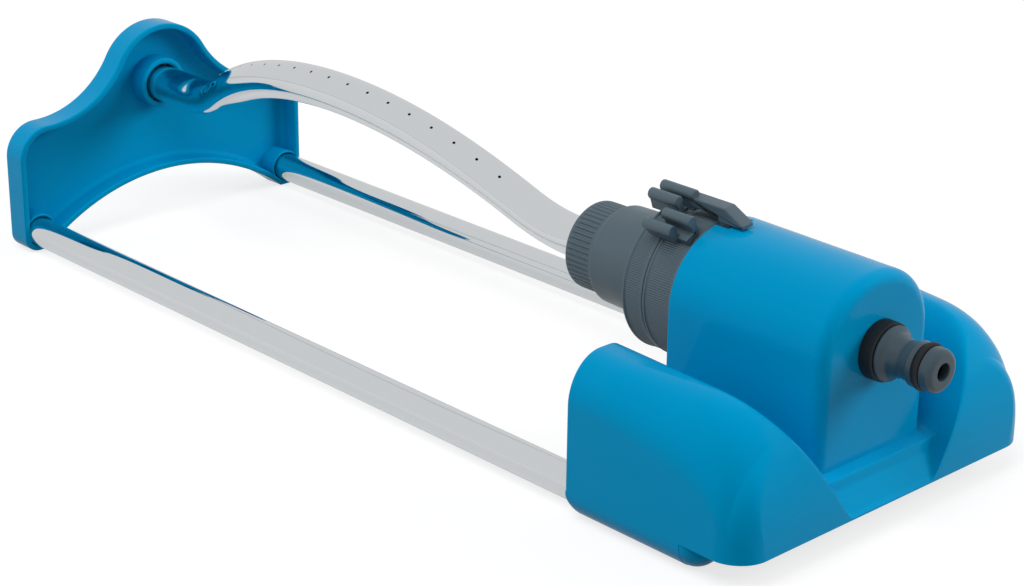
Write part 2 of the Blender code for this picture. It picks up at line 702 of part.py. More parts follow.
def make_inlet():
    ring, boss, flange, inner = connector_places()
    nose = NOSE_DIAMETER / 2
    neck = NECK_DIAMETER / 2
    bore = BORE_DIAMETER / 2
    shank = SHANK_DIAMETER / 2
    seat = O_RING_WIDTH / 2 + CLEARANCE / 2
    collar = 2.5 * MM
    waist_front = ring - seat - collar - 1.7 * MM
    flange_front = flange + 1.4 * MM
    profile = [
        (X_NOSE, NOSE_BORE_DIAMETER / 2), (X_NOSE, nose - NOSE_ROUND),
        (X_NOSE - NOSE_ROUND * 0.3, nose - NOSE_ROUND * 0.3), (X_NOSE - NOSE_ROUND, nose),
        (ring + seat, nose), (ring + seat, O_RING_SEAT / 2),
        (ring - seat, O_RING_SEAT / 2), (ring - seat, nose),
        (ring - seat - collar, nose), (ring - seat - collar - 0.5 * MM, neck + 0.1 * MM),
        (waist_front, neck), (waist_front - 1.2 * MM, neck),
        ((waist_front + flange_front) / 2 - 1 * MM, neck + 1.0 * MM),
        (flange_front, FLANGE_DIAMETER / 2), (flange, FLANGE_DIAMETER / 2),
        (flange, shank), (inner, shank), (inner, bore),
        (X_NOSE - 3 * MM, bore), (X_NOSE - 3 * MM, NOSE_BORE_DIAMETER / 2),
    ]
    lathe("inlet_connector", profile, grey_plastic(), 20)
    half = O_RING_WIDTH / 2
    outer = O_RING_DIAMETER / 2
    low = O_RING_SEAT / 2 + CLEARANCE
    round_ring = [(ring - half, low + 0.4 * MM), (ring - half * 0.6, low), (ring + half * 0.6, low),
                  (ring + half, low + 0.4 * MM), (ring + half, outer - 0.6 * MM),
                  (ring + half * 0.5, outer), (ring - half * 0.5, outer),
                  (ring - half, outer - 0.6 * MM)]
    lathe("inlet_o_ring", round_ring, rubber(), 20)
    start = boss + CLEARANCE
    end = flange - CLEARANCE
    outer = SHOULDER_SEAL_DIAMETER / 2
    collar_ring = [(start, shank + CLEARANCE), (end, shank + CLEARANCE), (end, outer - 0.4 * MM),
                   (end - 0.4 * MM, outer), (start + 0.4 * MM, outer), (start, outer - 0.4 * MM)]
    lathe("shoulder_seal", collar_ring, rubber(), 20)
    make_filter(inner)


def make_filter(inner):
    """A cup strainer that stands in the connector's inner end, with slots in its wall."""
    end = inner - CLEARANCE
    start = end - FILTER_LENGTH
    outer = FILTER_DIAMETER / 2
    hollow = outer - FILTER_WALL
    profile = [(start, 0.0), (start, outer), (end, outer), (end, hollow),
               (start + FILTER_WALL, hollow), (start + FILTER_WALL, 0.0)]
    strainer = lathe("inlet_filter", profile, inner_plastic(), 24)
    half = FILTER_WALL
    for step in range(3):
        slot = box((start + 3 * MM, -outer - 1 * MM, -half), (end - 3 * MM, outer + 1 * MM, half))
        slot.location = AXIS
        slot.rotation_euler.x = math.pi * step / 3
        cut(strainer, slot)


# Water motor

def motor_places():
    """Places along X of the motor's parts, from the case's back wall towards the inlet."""
    places = {}
    yoke_start = X_REAR + HOUSING_WALL + CLEARANCE
    places["yoke"] = yoke_start
    case_back = yoke_start + LEVER_THICKNESS + CLEARANCE
    places["case_back"] = case_back
    floor = case_back + CASE_BACK
    places["floor"] = floor
    output = floor + CLEARANCE
    places["output"] = output
    first = output + WHEEL_FACE + STAGE_GAP
    places["first"] = first
    second = first + WHEEL_FACE + STAGE_GAP
    places["second"] = second
    bulkhead = second + WHEEL_FACE + STAGE_GAP
    places["bulkhead"] = bulkhead
    turbine = bulkhead + BULKHEAD + CLEARANCE
    places["turbine"] = turbine
    jets = turbine + TURBINE_WIDTH + CLEARANCE
    places["jets"] = jets
    places["flap"] = jets + JET_PLATE + CLEARANCE
    cover_outer = X_REAR + TUNNEL_LENGTH - HOUSING_WALL - CLEARANCE
    places["cover_outer"] = cover_outer
    places["case_end"] = cover_outer - COVER_FLANGE - CLEARANCE
    barrel_end = X_REAR - RING_GAP - INNER_RING_WIDTH - RING_GAP - OUTER_RING_WIDTH - RING_GAP
    places["ring_end"] = barrel_end
    places["web"] = barrel_end + HEAD_WEB
    return places


def make_case():
    at = motor_places()
    outer = CASE_DIAMETER / 2
    bore = CASE_BORE / 2
    neck = NECK_TUBE_DIAMETER / 2
    shaft = SHAFT_DIAMETER / 2 + CLEARANCE
    seal = SHAFT_SEAL_DIAMETER / 2 + CLEARANCE
    tip = at["web"] + CLEARANCE * 2
    step = tip + SHAFT_SEAL_LENGTH + 2 * CLEARANCE
    profile = [
        (tip, neck), (at["case_back"], neck), (at["case_back"], outer), (at["case_end"], outer),
        (at["case_end"], bore), (at["floor"], bore), (at["floor"], shaft), (step, shaft),
        (step, seal), (tip, seal),
    ]
    case = lathe("motor_case", profile, inner_plastic(), 28)
    pin = rod(at["floor"] - CASE_BACK * 0.6, at["floor"] + 1 * MM, PIN_DIAMETER / 2 + CLEARANCE,
              (0, -CENTRE_DISTANCE), segments=12, location=AXIS)
    cut(case, pin)
    smooth(case)
    start = tip + CLEARANCE
    ring = [(start, SHAFT_DIAMETER / 2 + CLEARANCE), (start + SHAFT_SEAL_LENGTH, SHAFT_DIAMETER / 2
            + CLEARANCE), (start + SHAFT_SEAL_LENGTH, SHAFT_SEAL_DIAMETER / 2),
            (start, SHAFT_SEAL_DIAMETER / 2)]
    lathe("shaft_seal", ring, rubber(), 24)
    make_cover(at, outer, bore)


def make_cover(at, outer, bore):
    """Motor cover: closes the case, holds the connector's shank, and is sealed by a ring."""
    hole = SHANK_DIAMETER / 2 + CLEARANCE
    spigot = bore - CLEARANCE
    groove_start = at["case_end"] - 1.0 * MM
    groove_end = groove_start - 2.0 * MM
    groove = spigot - 1.5 * MM
    end = at["case_end"] - COVER_SPIGOT + CLEARANCE
    lip = at["case_end"] + CLEARANCE
    profile = [
        (at["cover_outer"], hole), (at["cover_outer"], outer), (lip, outer), (lip, spigot),
        (groove_start, spigot), (groove_start, groove), (groove_end, groove),
        (groove_end, spigot), (end, spigot), (end, hole),
    ]
    lathe("motor_cover", profile, inner_plastic(), 28)
    ring = [(groove_start - CLEARANCE, groove + CLEARANCE),
            (groove_end + CLEARANCE, groove + CLEARANCE),
            (groove_end + CLEARANCE, spigot), (groove_start - CLEARANCE, spigot)]
    lathe("case_seal", ring, rubber(), 28)


def gear_outline(teeth, phase):
    """Outline of a spur gear: straight flanks thinned for backlash; phase in tooth pitches."""
    pitch_radius = GEAR_MODULE * teeth / 2
    root = pitch_radius - TOOTH_DEDENDUM * GEAR_MODULE
    tip = pitch_radius + TOOTH_ADDENDUM * GEAR_MODULE
    step = 2 * math.pi / teeth
    flank = ((root, 0.33), (tip, 0.105))
    points = []
    for tooth in range(teeth):
        centre = (tooth + phase) * step
        for radius, share in flank:
            angle = centre - share * step
            points.append((radius * math.sin(angle), radius * math.cos(angle)))
        for radius, share in flank[::-1]:
            angle = centre + share * step
            points.append((radius * math.sin(angle), radius * math.cos(angle)))
    return points


def make_gear_pair(name, axis, wheel_at, pinion_at, pinion_end, wheel_phase, pinion_phase):
    """A compound gear: a wheel and a pinion moulded as one, bored for its pin."""
    gear = prism(gear_outline(WHEEL_TEETH, wheel_phase), "X", wheel_at, wheel_at + WHEEL_FACE, axis)
    join(gear, prism(gear_outline(PINION_TEETH, pinion_phase), "X", pinion_at, pinion_end, axis))
    cut(gear, rod(pinion_at - 5 * MM, wheel_at + 9 * MM, PIN_DIAMETER / 2 + CLEARANCE,
                  segments=12, location=axis))
    gear.name = name
    gear.data.materials.append(inner_plastic())
    smooth(gear)


def make_gears():
    at = motor_places()
    sleeve = SHAFT_DIAMETER / 2 + CLEARANCE
    output = prism(gear_outline(WHEEL_TEETH, 0.5), "X", at["output"], at["output"] + WHEEL_FACE,
                   AXIS, "output_gear", inner_plastic())
    cut(output, rod(at["output"] - 1 * MM, at["first"], sleeve, segments=24, location=AXIS))
    smooth(output)
    shaft = SHAFT_DIAMETER / 2
    shaft_end = at["output"] + WHEEL_FACE + 0.1 * MM
    shaft_start = at["web"] - SHAFT_SEAT + CLEARANCE
    bore = SHAFT_BORE / 2
    lathe("output_shaft", [(shaft_start, bore), (shaft_start, shaft), (shaft_end, shaft),
                           (shaft_end, bore)], inner_plastic(), 24)
    make_gear_pair("lay_gear", LAY_AXIS, at["first"], at["output"], at["first"] + 0.1 * MM, 0.0, 0.0)
    make_gear_pair("centre_gear", AXIS, at["second"], at["first"], at["second"] + 0.1 * MM, 0.5, 0.5)
    pin = PIN_DIAMETER / 2
    lay_start = at["floor"] - CASE_BACK * 0.5
    lathe("lay_pin", [(lay_start, 0.0), (lay_start, pin), (at["flap"] - CLEARANCE, pin),
                      (at["flap"] - CLEARANCE, 0.0)], steel(), 12, LAY_AXIS)
    lathe("centre_pin", [(shaft_end + CLEARANCE, 0.0), (shaft_end + CLEARANCE, pin),
                         (at["bulkhead"] + BULKHEAD, pin), (at["bulkhead"] + BULKHEAD, 0.0)],
          steel(), 12)


def make_turbine():
    """Turbine wheel: straight blades on a hub, with its pinion on a sleeve."""
    at = motor_places()
    start = at["turbine"]
    end = start + TURBINE_WIDTH
    hub = 3.0 * MM
    turbine = rod(start, end, hub, segments=20, location=LAY_AXIS)
    outer = TURBINE_DIAMETER / 2
    half = BLADE_THICKNESS / 2
    for blade in range(TURBINE_BLADES):
        paddle = box((start, -half, hub * 0.7), (end, half, outer))
        paddle.location = LAY_AXIS
        paddle.rotation_euler.x = 2 * math.pi * blade / TURBINE_BLADES
        join(turbine, paddle)
    sleeve = PIN_DIAMETER / 2 + 1.1 * MM
    join(turbine, rod(at["second"] + WHEEL_FACE - 0.1 * MM, start + 1 * MM, sleeve,
                      segments=16, location=LAY_AXIS))
    join(turbine, prism(gear_outline(PINION_TEETH, 0.0), "X", at["second"],
                        at["second"] + WHEEL_FACE, LAY_AXIS))
    cut(turbine, rod(at["second"] - 1 * MM, end + 1 * MM, PIN_DIAMETER / 2 + CLEARANCE,
                     segments=12, location=LAY_AXIS))
    turbine.name = "turbine_wheel"
    turbine.data.materials.append(inner_plastic())
    smooth(turbine)


def make_plates():
    """Bulkhead that carries the pins, and the jet plate whose two jets drive the turbine."""
    at = motor_places()
    outer = CASE_BORE / 2 - CLEARANCE
    bulkhead = rod(at["bulkhead"], at["bulkhead"] + BULKHEAD, outer, segments=28, location=AXIS)
    bulkhead.name = "bulkhead"
    bulkhead.data.materials.append(inner_plastic())
    sleeve = PIN_DIAMETER / 2 + 1.1 * MM + CLEARANCE
    start = at["bulkhead"] - 1 * MM
    end = at["bulkhead"] + BULKHEAD + 1 * MM
    cut(bulkhead, rod(start, end, sleeve, (0, -CENTRE_DISTANCE), segments=16, location=AXIS))
    cut(bulkhead, rod(start, end, PIN_DIAMETER / 2 + CLEARANCE, segments=12, location=AXIS))
    for side in (-1, 1):
        place = (side * CENTRE_DISTANCE * 0.8, CENTRE_DISTANCE * 0.8)
        cut(bulkhead, rod(start, end, 3.5 * MM, place, segments=16, location=AXIS))
    smooth(bulkhead)
    jets = rod(at["jets"], at["jets"] + JET_PLATE, outer, segments=28, location=AXIS)
    jets.name = "jet_plate"
    jets.data.materials.append(inner_plastic())
    hub = 3.7 * MM
    hub_end = at["flap"] + FLAP_THICKNESS + 0.5 * MM
    join(jets, rod(at["jets"] + JET_PLATE / 2, hub_end, hub, segments=20, location=AXIS))
    start = at["jets"] - 1 * MM
    end = at["jets"] + JET_PLATE + 0.2 * MM
    cut(jets, rod(start, end, PIN_DIAMETER / 2 + CLEARANCE, (0, -CENTRE_DISTANCE), segments=12,
                  location=AXIS))
    for side in (-1, 1):
        place = (side * JET_OFFSET, -CENTRE_DISTANCE)
        cut(jets, rod(start, end, JET_DIAMETER / 2, place, segments=12, location=AXIS))
    smooth(jets)
    make_flap(at, hub)


def make_flap(at, hub):
    """Diverter flap: a fan that covers one jet or the other as the trip lever swings."""
    start = at["flap"]
    end = start + FLAP_THICKNESS
    reach = CASE_BORE / 2 - 4.5 * MM
    flap = rod(start, end, hub + 2.2 * MM, segments=20, location=AXIS)
    middle = 180 + LEVER_SWING / 2
    fan = sector(hub + 1 * MM, reach, middle - FLAP_ANGLE, middle + FLAP_ANGLE)
    join(flap, prism(fan, "X", start, end, AXIS))
    cut(flap, rod(start - 1 * MM, end + 1 * MM, hub + CLEARANCE, segments=20, location=AXIS))
    flap.name = "diverter_flap"
    flap.data.materials.append(inner_plastic())
    smooth(flap)


# Spray head, limit rings and trip lever

def make_head():
    at = motor_places()
    end = X_REAR - RING_GAP * 2
    ring_end = at["ring_end"]
    head_start = ring_end - HEAD_LENGTH
    small = HEAD_SMALL_DIAMETER / 2
    shoulder = HEAD_SHOULDER_DIAMETER / 2
    barrel = BARREL_DIAMETER / 2
    tube = TUBE_DIAMETER / 2 + CLEARANCE
    sleeve = SLEEVE_DIAMETER / 2
    face = head_start - CLEARANCE - COLLAR_LENGTH
    sleeve_end = face + COLLAR_FACE + SEAL_LENGTH + 3 * CLEARANCE
    shaft = SHAFT_DIAMETER / 2 + CLEARANCE
    shaft_seat = at["web"] - SHAFT_SEAT
    water = SHAFT_BORE / 2
    socket_end = head_start + TUBE_SOCKET
    profile = [(sleeve_end, sleeve), (head_start, sleeve)]
    profile += arc((head_start + HEAD_ROUND, small - HEAD_ROUND), HEAD_ROUND, 180, 90, 3)
    profile += [
        (ring_end, shoulder),
        (ring_end, barrel), (end, barrel), (end, barrel - BARREL_WALL),
        (at["web"] + BARREL_WALL, barrel - BARREL_WALL), (at["web"], barrel - 2 * BARREL_WALL),
        (at["web"], shaft), (shaft_seat, shaft), (shaft_seat, water), (socket_end, water),
        (socket_end, tube), (sleeve_end, tube),
    ]
    lathe("spray_head", profile, grey_plastic(), 28)
    make_collar(face, head_start - CLEARANCE, sleeve, tube)
    start = face + COLLAR_FACE + CLEARANCE
    ring = [(start, tube), (start + SEAL_LENGTH, tube), (start + SEAL_LENGTH, sleeve),
            (start, sleeve)]
    lathe("tube_seal", ring, rubber(), 24)
    return socket_end


def make_collar(face, end, sleeve, tube):
    """Ribbed collar nut that clamps the spray tube and its seal to the head."""
    outer = COLLAR_DIAMETER / 2
    outline = []
    for rib in range(COLLAR_RIBS):
        for shift, radius in ((0.0, outer), (0.45, outer), (0.72, outer - COLLAR_RIB_DEPTH)):
            angle = 2 * math.pi * (rib + shift) / COLLAR_RIBS
            outline.append((radius * math.cos(angle), radius * math.sin(angle)))
    nut = prism(outline, "X", face + COLLAR_ROUND, end, AXIS)
    front = lathe("front", [(face, 0.0), (face, outer - 1.4 * COLLAR_ROUND),
                            (face + 1.2 * COLLAR_ROUND, outer - COLLAR_RIB_DEPTH * 0.8),
                            (face + 1.2 * COLLAR_ROUND, 0.0)], None, 32)
    join(nut, front)
    cut(nut, rod(face - 1 * MM, end + 1 * MM, tube, segments=24, location=AXIS))
    cut(nut, rod(face + COLLAR_FACE, end + 1 * MM, sleeve + CLEARANCE, segments=28, location=AXIS))
    nut.name = "collar_nut"
    nut.data.materials.append(grey_plastic())
    smooth(nut)


def tab_outline(angle, foot):
    """Section of a tab: a thin wall from its foot radius up to a round bulb."""
    half = TAB_WALL / 2
    bulb = TAB_BULB / 2
    centre = TAB_TIP_RADIUS - bulb
    neck = math.degrees(math.acos(half / bulb))
    local = [(-half, foot), (half, foot)]
    local += arc((0.0, centre), bulb, -neck, 180 + neck, 8)
    turned = math.radians(angle)
    points = []
    for across, radius in local:
        points.append((across * math.cos(turned) - radius * math.sin(turned),
                       across * math.sin(turned) + radius * math.cos(turned)))
    return points


def ring_mesh_object(start, width):
    """Limit ring: a plain hoop with slightly rounded rims; its knurl is too fine to model."""
    outer = RING_DIAMETER / 2
    inner = BARREL_DIAMETER / 2 + CLEARANCE
    edge = 0.5 * MM
    end = start + width
    profile = [(start, inner), (end, inner), (end, outer - edge), (end - edge, outer),
               (start + edge, outer), (start, outer - edge)]
    return lathe("ring", profile, None, 32)


def make_rings():
    outer = RING_DIAMETER / 2
    inner_start = X_REAR - RING_GAP - INNER_RING_WIDTH
    outer_start = inner_start - RING_GAP - OUTER_RING_WIDTH
    lift = outer + TAB_LIFT
    plans = (
        ("inner_limit_ring", inner_start, INNER_RING_WIDTH, INNER_TAB_ANGLE, INNER_TAB_LENGTH),
        ("outer_limit_ring", outer_start, OUTER_RING_WIDTH, OUTER_TAB_ANGLE, OUTER_RING_WIDTH),
    )
    for name, start, width, angle, length in plans:
        ring = ring_mesh_object(start, width)
        end = start + width
        web = sector(outer - 0.8 * MM, lift + TAB_WEB, angle, angle + TAB_SPREAD, 4)
        join(ring, prism(web, "X", start + 1 * MM, end - 1 * MM, AXIS))
        tab_end = end - 1.0 * MM
        for step in (0, 1):
            tab = tab_outline(angle + TAB_SPREAD * step, lift + TAB_WEB / 2)
            shift = 4.0 * MM * step if length > width else 0.0
            join(ring, prism(tab, "X", tab_end - length - shift, tab_end - shift, AXIS))
        ring.name = name
        ring.data.materials.append(grey_plastic())
        smooth(ring)


def make_lever():
    """Trip lever: a yoke round the motor's neck, a stem, an arm and two tabs over the rings."""
    at = motor_places()
    yoke_in = NECK_TUBE_DIAMETER / 2 + CLEARANCE
    start = at["yoke"]
    end = start + LEVER_THICKNESS
    lever = rod(start, end, YOKE_DIAMETER / 2, segments=28, location=AXIS)
    cut(lever, rod(start - 1 * MM, end + 1 * MM, yoke_in, segments=28, location=AXIS))
    half = LEVER_STEM_WIDTH / 2
    arm_top = TAB_TIP_RADIUS - TAB_BULB / 2
    stem_top = arm_top - LEVER_ARM_HEIGHT / 2
    stem = box((start, -half, YOKE_DIAMETER / 2 - 1 * MM), (end, half, stem_top))
    stem.location = AXIS
    stem.rotation_euler.x = math.radians(LEVER_STEM_ANGLE)
    join(lever, stem)
    ring_face = at["ring_end"] + RING_GAP
    web_foot = RING_DIAMETER / 2 + TAB_LIFT
    over = TUNNEL_RADIUS + 2 * CLEARANCE
    arm_end = ring_face + LEVER_TAB_LENGTH - 2 * MM
    nose = X_REAR + NOTCH_LENGTH + 0.8 * MM
    side = [(nose, over), (nose, over + 0.6 * MM), (start + 1 * MM, arm_top), (arm_end, arm_top),
            (arm_end, arm_top - LEVER_ARM_HEIGHT), (start - 0.5 * MM, arm_top - LEVER_ARM_HEIGHT),
            (start - 0.5 * MM, over)]
    arm = prism(side, "Y", -LEVER_ARM_WIDTH / 2, LEVER_ARM_WIDTH / 2, AXIS)
    arm.rotation_euler.x = math.radians(LEVER_STEM_ANGLE)
    join(lever, arm)
    for step in (0, 1):
        tab = tab_outline(LEVER_ANGLE + TAB_SPREAD * step, web_foot + TAB_WEB / 2)
        length = LEVER_TAB_LENGTH + (2.0 * MM if step == 0 else 0.0)
        join(lever, prism(tab, "X", ring_face - 2 * MM, ring_face - 2 * MM + length, AXIS))
    web = sector(web_foot, web_foot + TAB_WEB, LEVER_ANGLE, LEVER_ANGLE + TAB_SPREAD, 4)
    join(lever, prism(web, "X", ring_face - 1 * MM, ring_face + LEVER_TAB_LENGTH - 3 * MM, AXIS))
    lever.name = "trip_lever"
    lever.data.materials.append(grey_plastic())
    smooth(lever)


# Spray bar

def bend_path(start, end):
    """Centre line of the spray bar in its own plane, with its outward normals.

    A wide arc in the middle and a tighter arc at each end meet tangent to each other.
    """
    turn = 2 * math.atan(BEND_HEIGHT / BEND_HALF_LENGTH)
    total = BEND_HALF_LENGTH / math.sin(turn)
    crown = CROWN_SHARE * total
    foot = total - crown
    centre_x = X_REAR - BEND_TO_HOUSING - BEND_HALF_LENGTH
    half = []
    for step in range(7):
        angle = turn * step / 6
        x = crown * math.sin(angle)
        z = BEND_HEIGHT - crown * (1 - math.cos(angle))
        half.append((x, z, angle))
    for step in range(1, 4):
        angle = turn * (1 - step / 3)
        x = BEND_HALF_LENGTH - foot * math.sin(angle)
        z = foot * (1 - math.cos(angle))
        half.append((x, z, angle))
    path = [Vector((start, 0, 0))]
    normals = [Vector((0, 0, 1))]
    for x, z, angle in half[::-1]:
        path.append(Vector((centre_x - x, 0, z)))
        normals.append(Vector((-math.sin(angle), 0, math.cos(angle))))
    for x, z, angle in half[1:]:
        path.append(Vector((centre_x + x, 0, z)))
        normals.append(Vector((math.sin(angle), 0, math.cos(angle))))
    path.append(Vector((end, 0, 0)))
    normals.append(Vector((0, 0, 1)))
    return path, normals, centre_x, crown


def make_spray_bar(socket_end):
    floor = X_BACK + BRACKET_WALL
    bush_end = floor + CLEARANCE + PIVOT_BUSH_LENGTH
    flange_start = bush_end + CLEARANCE
    tube_start = flange_start + PLUG_FLANGE + CLEARANCE
    path, normals, centre_x, crown = bend_path(tube_start, socket_end - CLEARANCE)
    outer = TUBE_DIAMETER / 2
    inner = outer - TUBE_WALL
    bar = add_object("spray_tube", tube_mesh(path, normals, outer, inner, 14), aluminium(),
                     AXIS, BAR_TILT)
    turn = 2 * math.atan(BEND_HEIGHT / BEND_HALF_LENGTH)
    for index in range(HOLE_COUNT):
        along = HOLE_PITCH * (index - (HOLE_COUNT - 1) / 2)
        angle = max(-turn, min(turn, along / crown))
        drill = rod(BEND_HEIGHT + inner - 1 * MM, BEND_HEIGHT + outer + 1 * MM,
                    HOLE_DIAMETER / 2, axis="Z", segments=5)
        pivot = Matrix.Translation((centre_x, 0, BEND_HEIGHT - crown))
        place = pivot @ Matrix.Rotation(angle, 4, "Y") @ pivot.inverted()
        shift = Matrix.Translation((centre_x, 0, 0))
        tilt = Matrix.Translation(AXIS) @ Matrix.Rotation(math.radians(BAR_TILT), 4, "X")
        drill.matrix_world = tilt @ place @ shift
        cut(bar, drill)
    smooth(bar)
    pin = PIVOT_PIN_DIAMETER / 2
    pin_start = floor + 2 * CLEARANCE
    body_end = tube_start + PLUG_LENGTH
    body = inner - CLEARANCE
    profile = [(pin_start, 0.0), (pin_start, pin), (flange_start, pin), (flange_start, outer),
               (flange_start + PLUG_FLANGE, outer), (flange_start + PLUG_FLANGE, body),
               (body_end, body), (body_end, 0.0)]
    lathe("tube_end_plug", profile, grey_plastic(), 20)
    bush_outer = PIVOT_BORE / 2 - CLEARANCE
    bush = [(floor + CLEARANCE, pin + CLEARANCE), (bush_end, pin + CLEARANCE),
            (bush_end, bush_outer), (floor + CLEARANCE, bush_outer)]
    lathe("pivot_bush", bush, inner_plastic(), 20)


def main():
    clear_scene()
    make_bracket()
    make_rails()
    make_housing()
    make_tray()
    make_inlet()
    make_case()
    make_gears()
    make_turbine()
    make_plates()
    socket_end = make_head()
    make_rings()
    make_lever()
    make_spray_bar(socket_end)


main()
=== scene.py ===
"""Looks of an oscillating lawn sprinkler, laid out as a Blender add-on and run as a script.

Sizes are in millimetres until a mesh is made, and in metres in the scene. +Z is up, the spray
bar's pivot axis runs along X, and the hose inlet is at +X. Angles round the pivot axis are
measured from straight up towards -Y, in degrees.
"""

import math

import bmesh
import bpy
import numpy as np
from mathutils import Matrix, Vector


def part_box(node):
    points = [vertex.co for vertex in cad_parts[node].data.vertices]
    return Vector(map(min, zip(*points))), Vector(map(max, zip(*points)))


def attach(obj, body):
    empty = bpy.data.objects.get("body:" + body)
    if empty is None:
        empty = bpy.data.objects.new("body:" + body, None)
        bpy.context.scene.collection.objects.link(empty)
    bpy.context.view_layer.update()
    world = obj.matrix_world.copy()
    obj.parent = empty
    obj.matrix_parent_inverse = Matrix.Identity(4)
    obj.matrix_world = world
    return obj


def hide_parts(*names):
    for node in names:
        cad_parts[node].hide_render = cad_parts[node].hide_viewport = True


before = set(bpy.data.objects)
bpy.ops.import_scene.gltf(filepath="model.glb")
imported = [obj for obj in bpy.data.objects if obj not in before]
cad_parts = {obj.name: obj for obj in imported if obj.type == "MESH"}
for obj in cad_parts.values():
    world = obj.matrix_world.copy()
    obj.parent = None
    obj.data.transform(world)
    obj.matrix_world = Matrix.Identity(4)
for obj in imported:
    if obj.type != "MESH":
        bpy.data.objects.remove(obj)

bl_info = {
    "name": "Lawn Sprinkler",
    "version": (1, 0, 0),
    "blender": (4, 5, 0),
    "location": "3D View > Sidebar > Sprinkler",
    "description": "Builds the looks of an oscillating lawn sprinkler round its packed frame",
    "category": "Object",
}

MM = 0.001

# Places along X, in millimetres: the bracket's back and rim, the housing's rear and front end,
# the front of its tunnel, and the nose of the hose connector
X_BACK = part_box("end_bracket")[0].x / MM
X_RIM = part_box("end_bracket")[1].x / MM
X_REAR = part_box("motor_housing")[0].x / MM
X_TUNNEL = X_REAR + 62.3
X_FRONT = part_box("motor_housing")[1].x / MM
X_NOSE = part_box("inlet_connector")[1].x / MM

# Heights over the ground: the pivot axis, the foot of the fenders, and the rim on the tray
AXIS_Z = 57.2
BASE_Z = 8.0
RIM_Z = 9.3

# Rails
RAIL_Y = 61.8
RAIL_Z = 7.7
RAIL_R = 5.7
RAIL_WALL = 1.0
RAIL_BORE = 6.0

# End bracket: a bell over the pivot, a concave saddle, a shoulder, a foot and an arch below
BRACKET_WALL = 2.4
BRACKET_HALF = 69.0
BELL_Z = 58.4
BELL_R = 23.6
SADDLE_R = 40.0
SHOULDER_Z = 50.6
SHOULDER_R = 13.0
FOOT_R = 6.0
ARCH_TOP = 20.6
ARCH_R = 94.0

# Motor housing: its fenders, the slope between them and the tunnel, and the tunnel's arch
HOUSING_HALF = 70.0
HOUSING_WALL = 2.2
CREST = 45.8
CREST_LEVEL = 40.3
CREST_DROP = 0.7
CREST_POWER = 2.49
CREST_REACH = 6.5
NOSE_CORNER = 11.5
SLOPE = 1.46
TUNNEL_HALF = 26.5
TUNNEL_HIGH = 24.8
TUNNEL_POWER = 2.1
MOTOR_CLEAR = 23.75

# Spray tube: half length and height of its bend, the gap from its bend to the housing, the share
# of the bend's radius that its crown has, and how far it is tilted in the photograph
TUBE_R = 7.25
TUBE_WALL = 0.9
BEND_HALF = 109.2
BEND_HIGH = 33.7
BEND_GAP = 66.7
CROWN_SHARE = 0.787
TUBE_TILT = 28.8
HOLES = 17
HOLE_PITCH = 9.96
HOLE_R = 0.55

# Stage: the share of the white background that reflections see, and the camera's azimuth,
# elevation and roll in degrees, its lens in millimetres and its place in metres
REFLECTED = 0.55
CAMERA_TURN = (46.69, 21.6, -0.71)
CAMERA_LENS = 83.47
CAMERA_PLACE = (0.5838, -0.5348, 0.3358)

# Rings and lever: degrees between the two tabs of a pair, and the tilt of the lever's arm
TAB_STEP = 10.3
LEVER_TAB = 9.2
LEVER_TILT = 7.0


def linear(hex_colour):
    """Linear RGB of an sRGB hex colour."""
    values = np.array([int(hex_colour[i:i + 2], 16) / 255 for i in (0, 2, 4)])
    return tuple(np.where(values <= 0.04045, values / 12.92, ((values + 0.055) / 1.055) ** 2.4))


def colour_property(name, description, hex_colour):
    """A colour setting for the sidebar."""
    return bpy.props.FloatVectorProperty(
        name=name, description=description, subtype="COLOR", size=3, min=0.0, max=1.0,
        default=linear(hex_colour))


def size_property(name, description, default, low, high):
    """A length setting for the sidebar, given in millimetres."""
    return bpy.props.FloatProperty(
        name=name, description=description, default=default * MM, min=low * MM, max=high * MM,
        unit="LENGTH", subtype="DISTANCE")


class SprinklerColours(bpy.types.PropertyGroup):
    blue: colour_property("Housing", "Blue of the housing, tray and end bracket", "0099CE")
    grey: colour_property("Head", "Grey of the spray head, collar, rings and lever", "50626C")
    slate: colour_property("Connector", "Dark slate of the hose connector", "3A4C56")
    rubber: colour_property("Seals", "Near black of the seals", "0A0C0D")
    natural: colour_property("Motor parts", "Undyed plastic inside the motor", "D8D8D0")
    metal: colour_property("Tubes", "Polished aluminium of the tubes", "E9EDEF")


class SprinklerSizes(bpy.types.PropertyGroup):
    rear_edge: size_property("Rear edge", "Rounding of the housing's rear edge", 0.4, 0.3, 2.0)
    tunnel_edge: size_property("Tunnel edge", "Rounding of the tunnel's front edge", 4.2, 1.0, 6.0)
    rim_edge: size_property("Rim edge", "Rounding of the end bracket's rim", 0.8, 0.2, 1.1)
    knurl_depth: size_property("Knurl depth", "Depth of the limit rings' knurl", 0.22, 0.0, 0.5)
    rib_depth: size_property("Rib depth", "Depth of the collar's ribs", 0.5, 0.0, 0.8)
    ribs: bpy.props.IntProperty(
        name="Collar ribs", description="Ribs round the collar nut", default=51, min=12, max=90)
    knurls: bpy.props.IntProperty(
        name="Ring knurls", description="Knurls round a limit ring", default=196, min=40, max=260)


# Points and meshes

def arc(centre, radius, start, end, steps):
    """Points on a circle: the angle runs evenly from start to end, in degrees."""
    angle = np.radians(np.linspace(start, end, steps + 1))
    return np.stack([centre[0] + radius * np.cos(angle), centre[1] + radius * np.sin(angle)], -1)


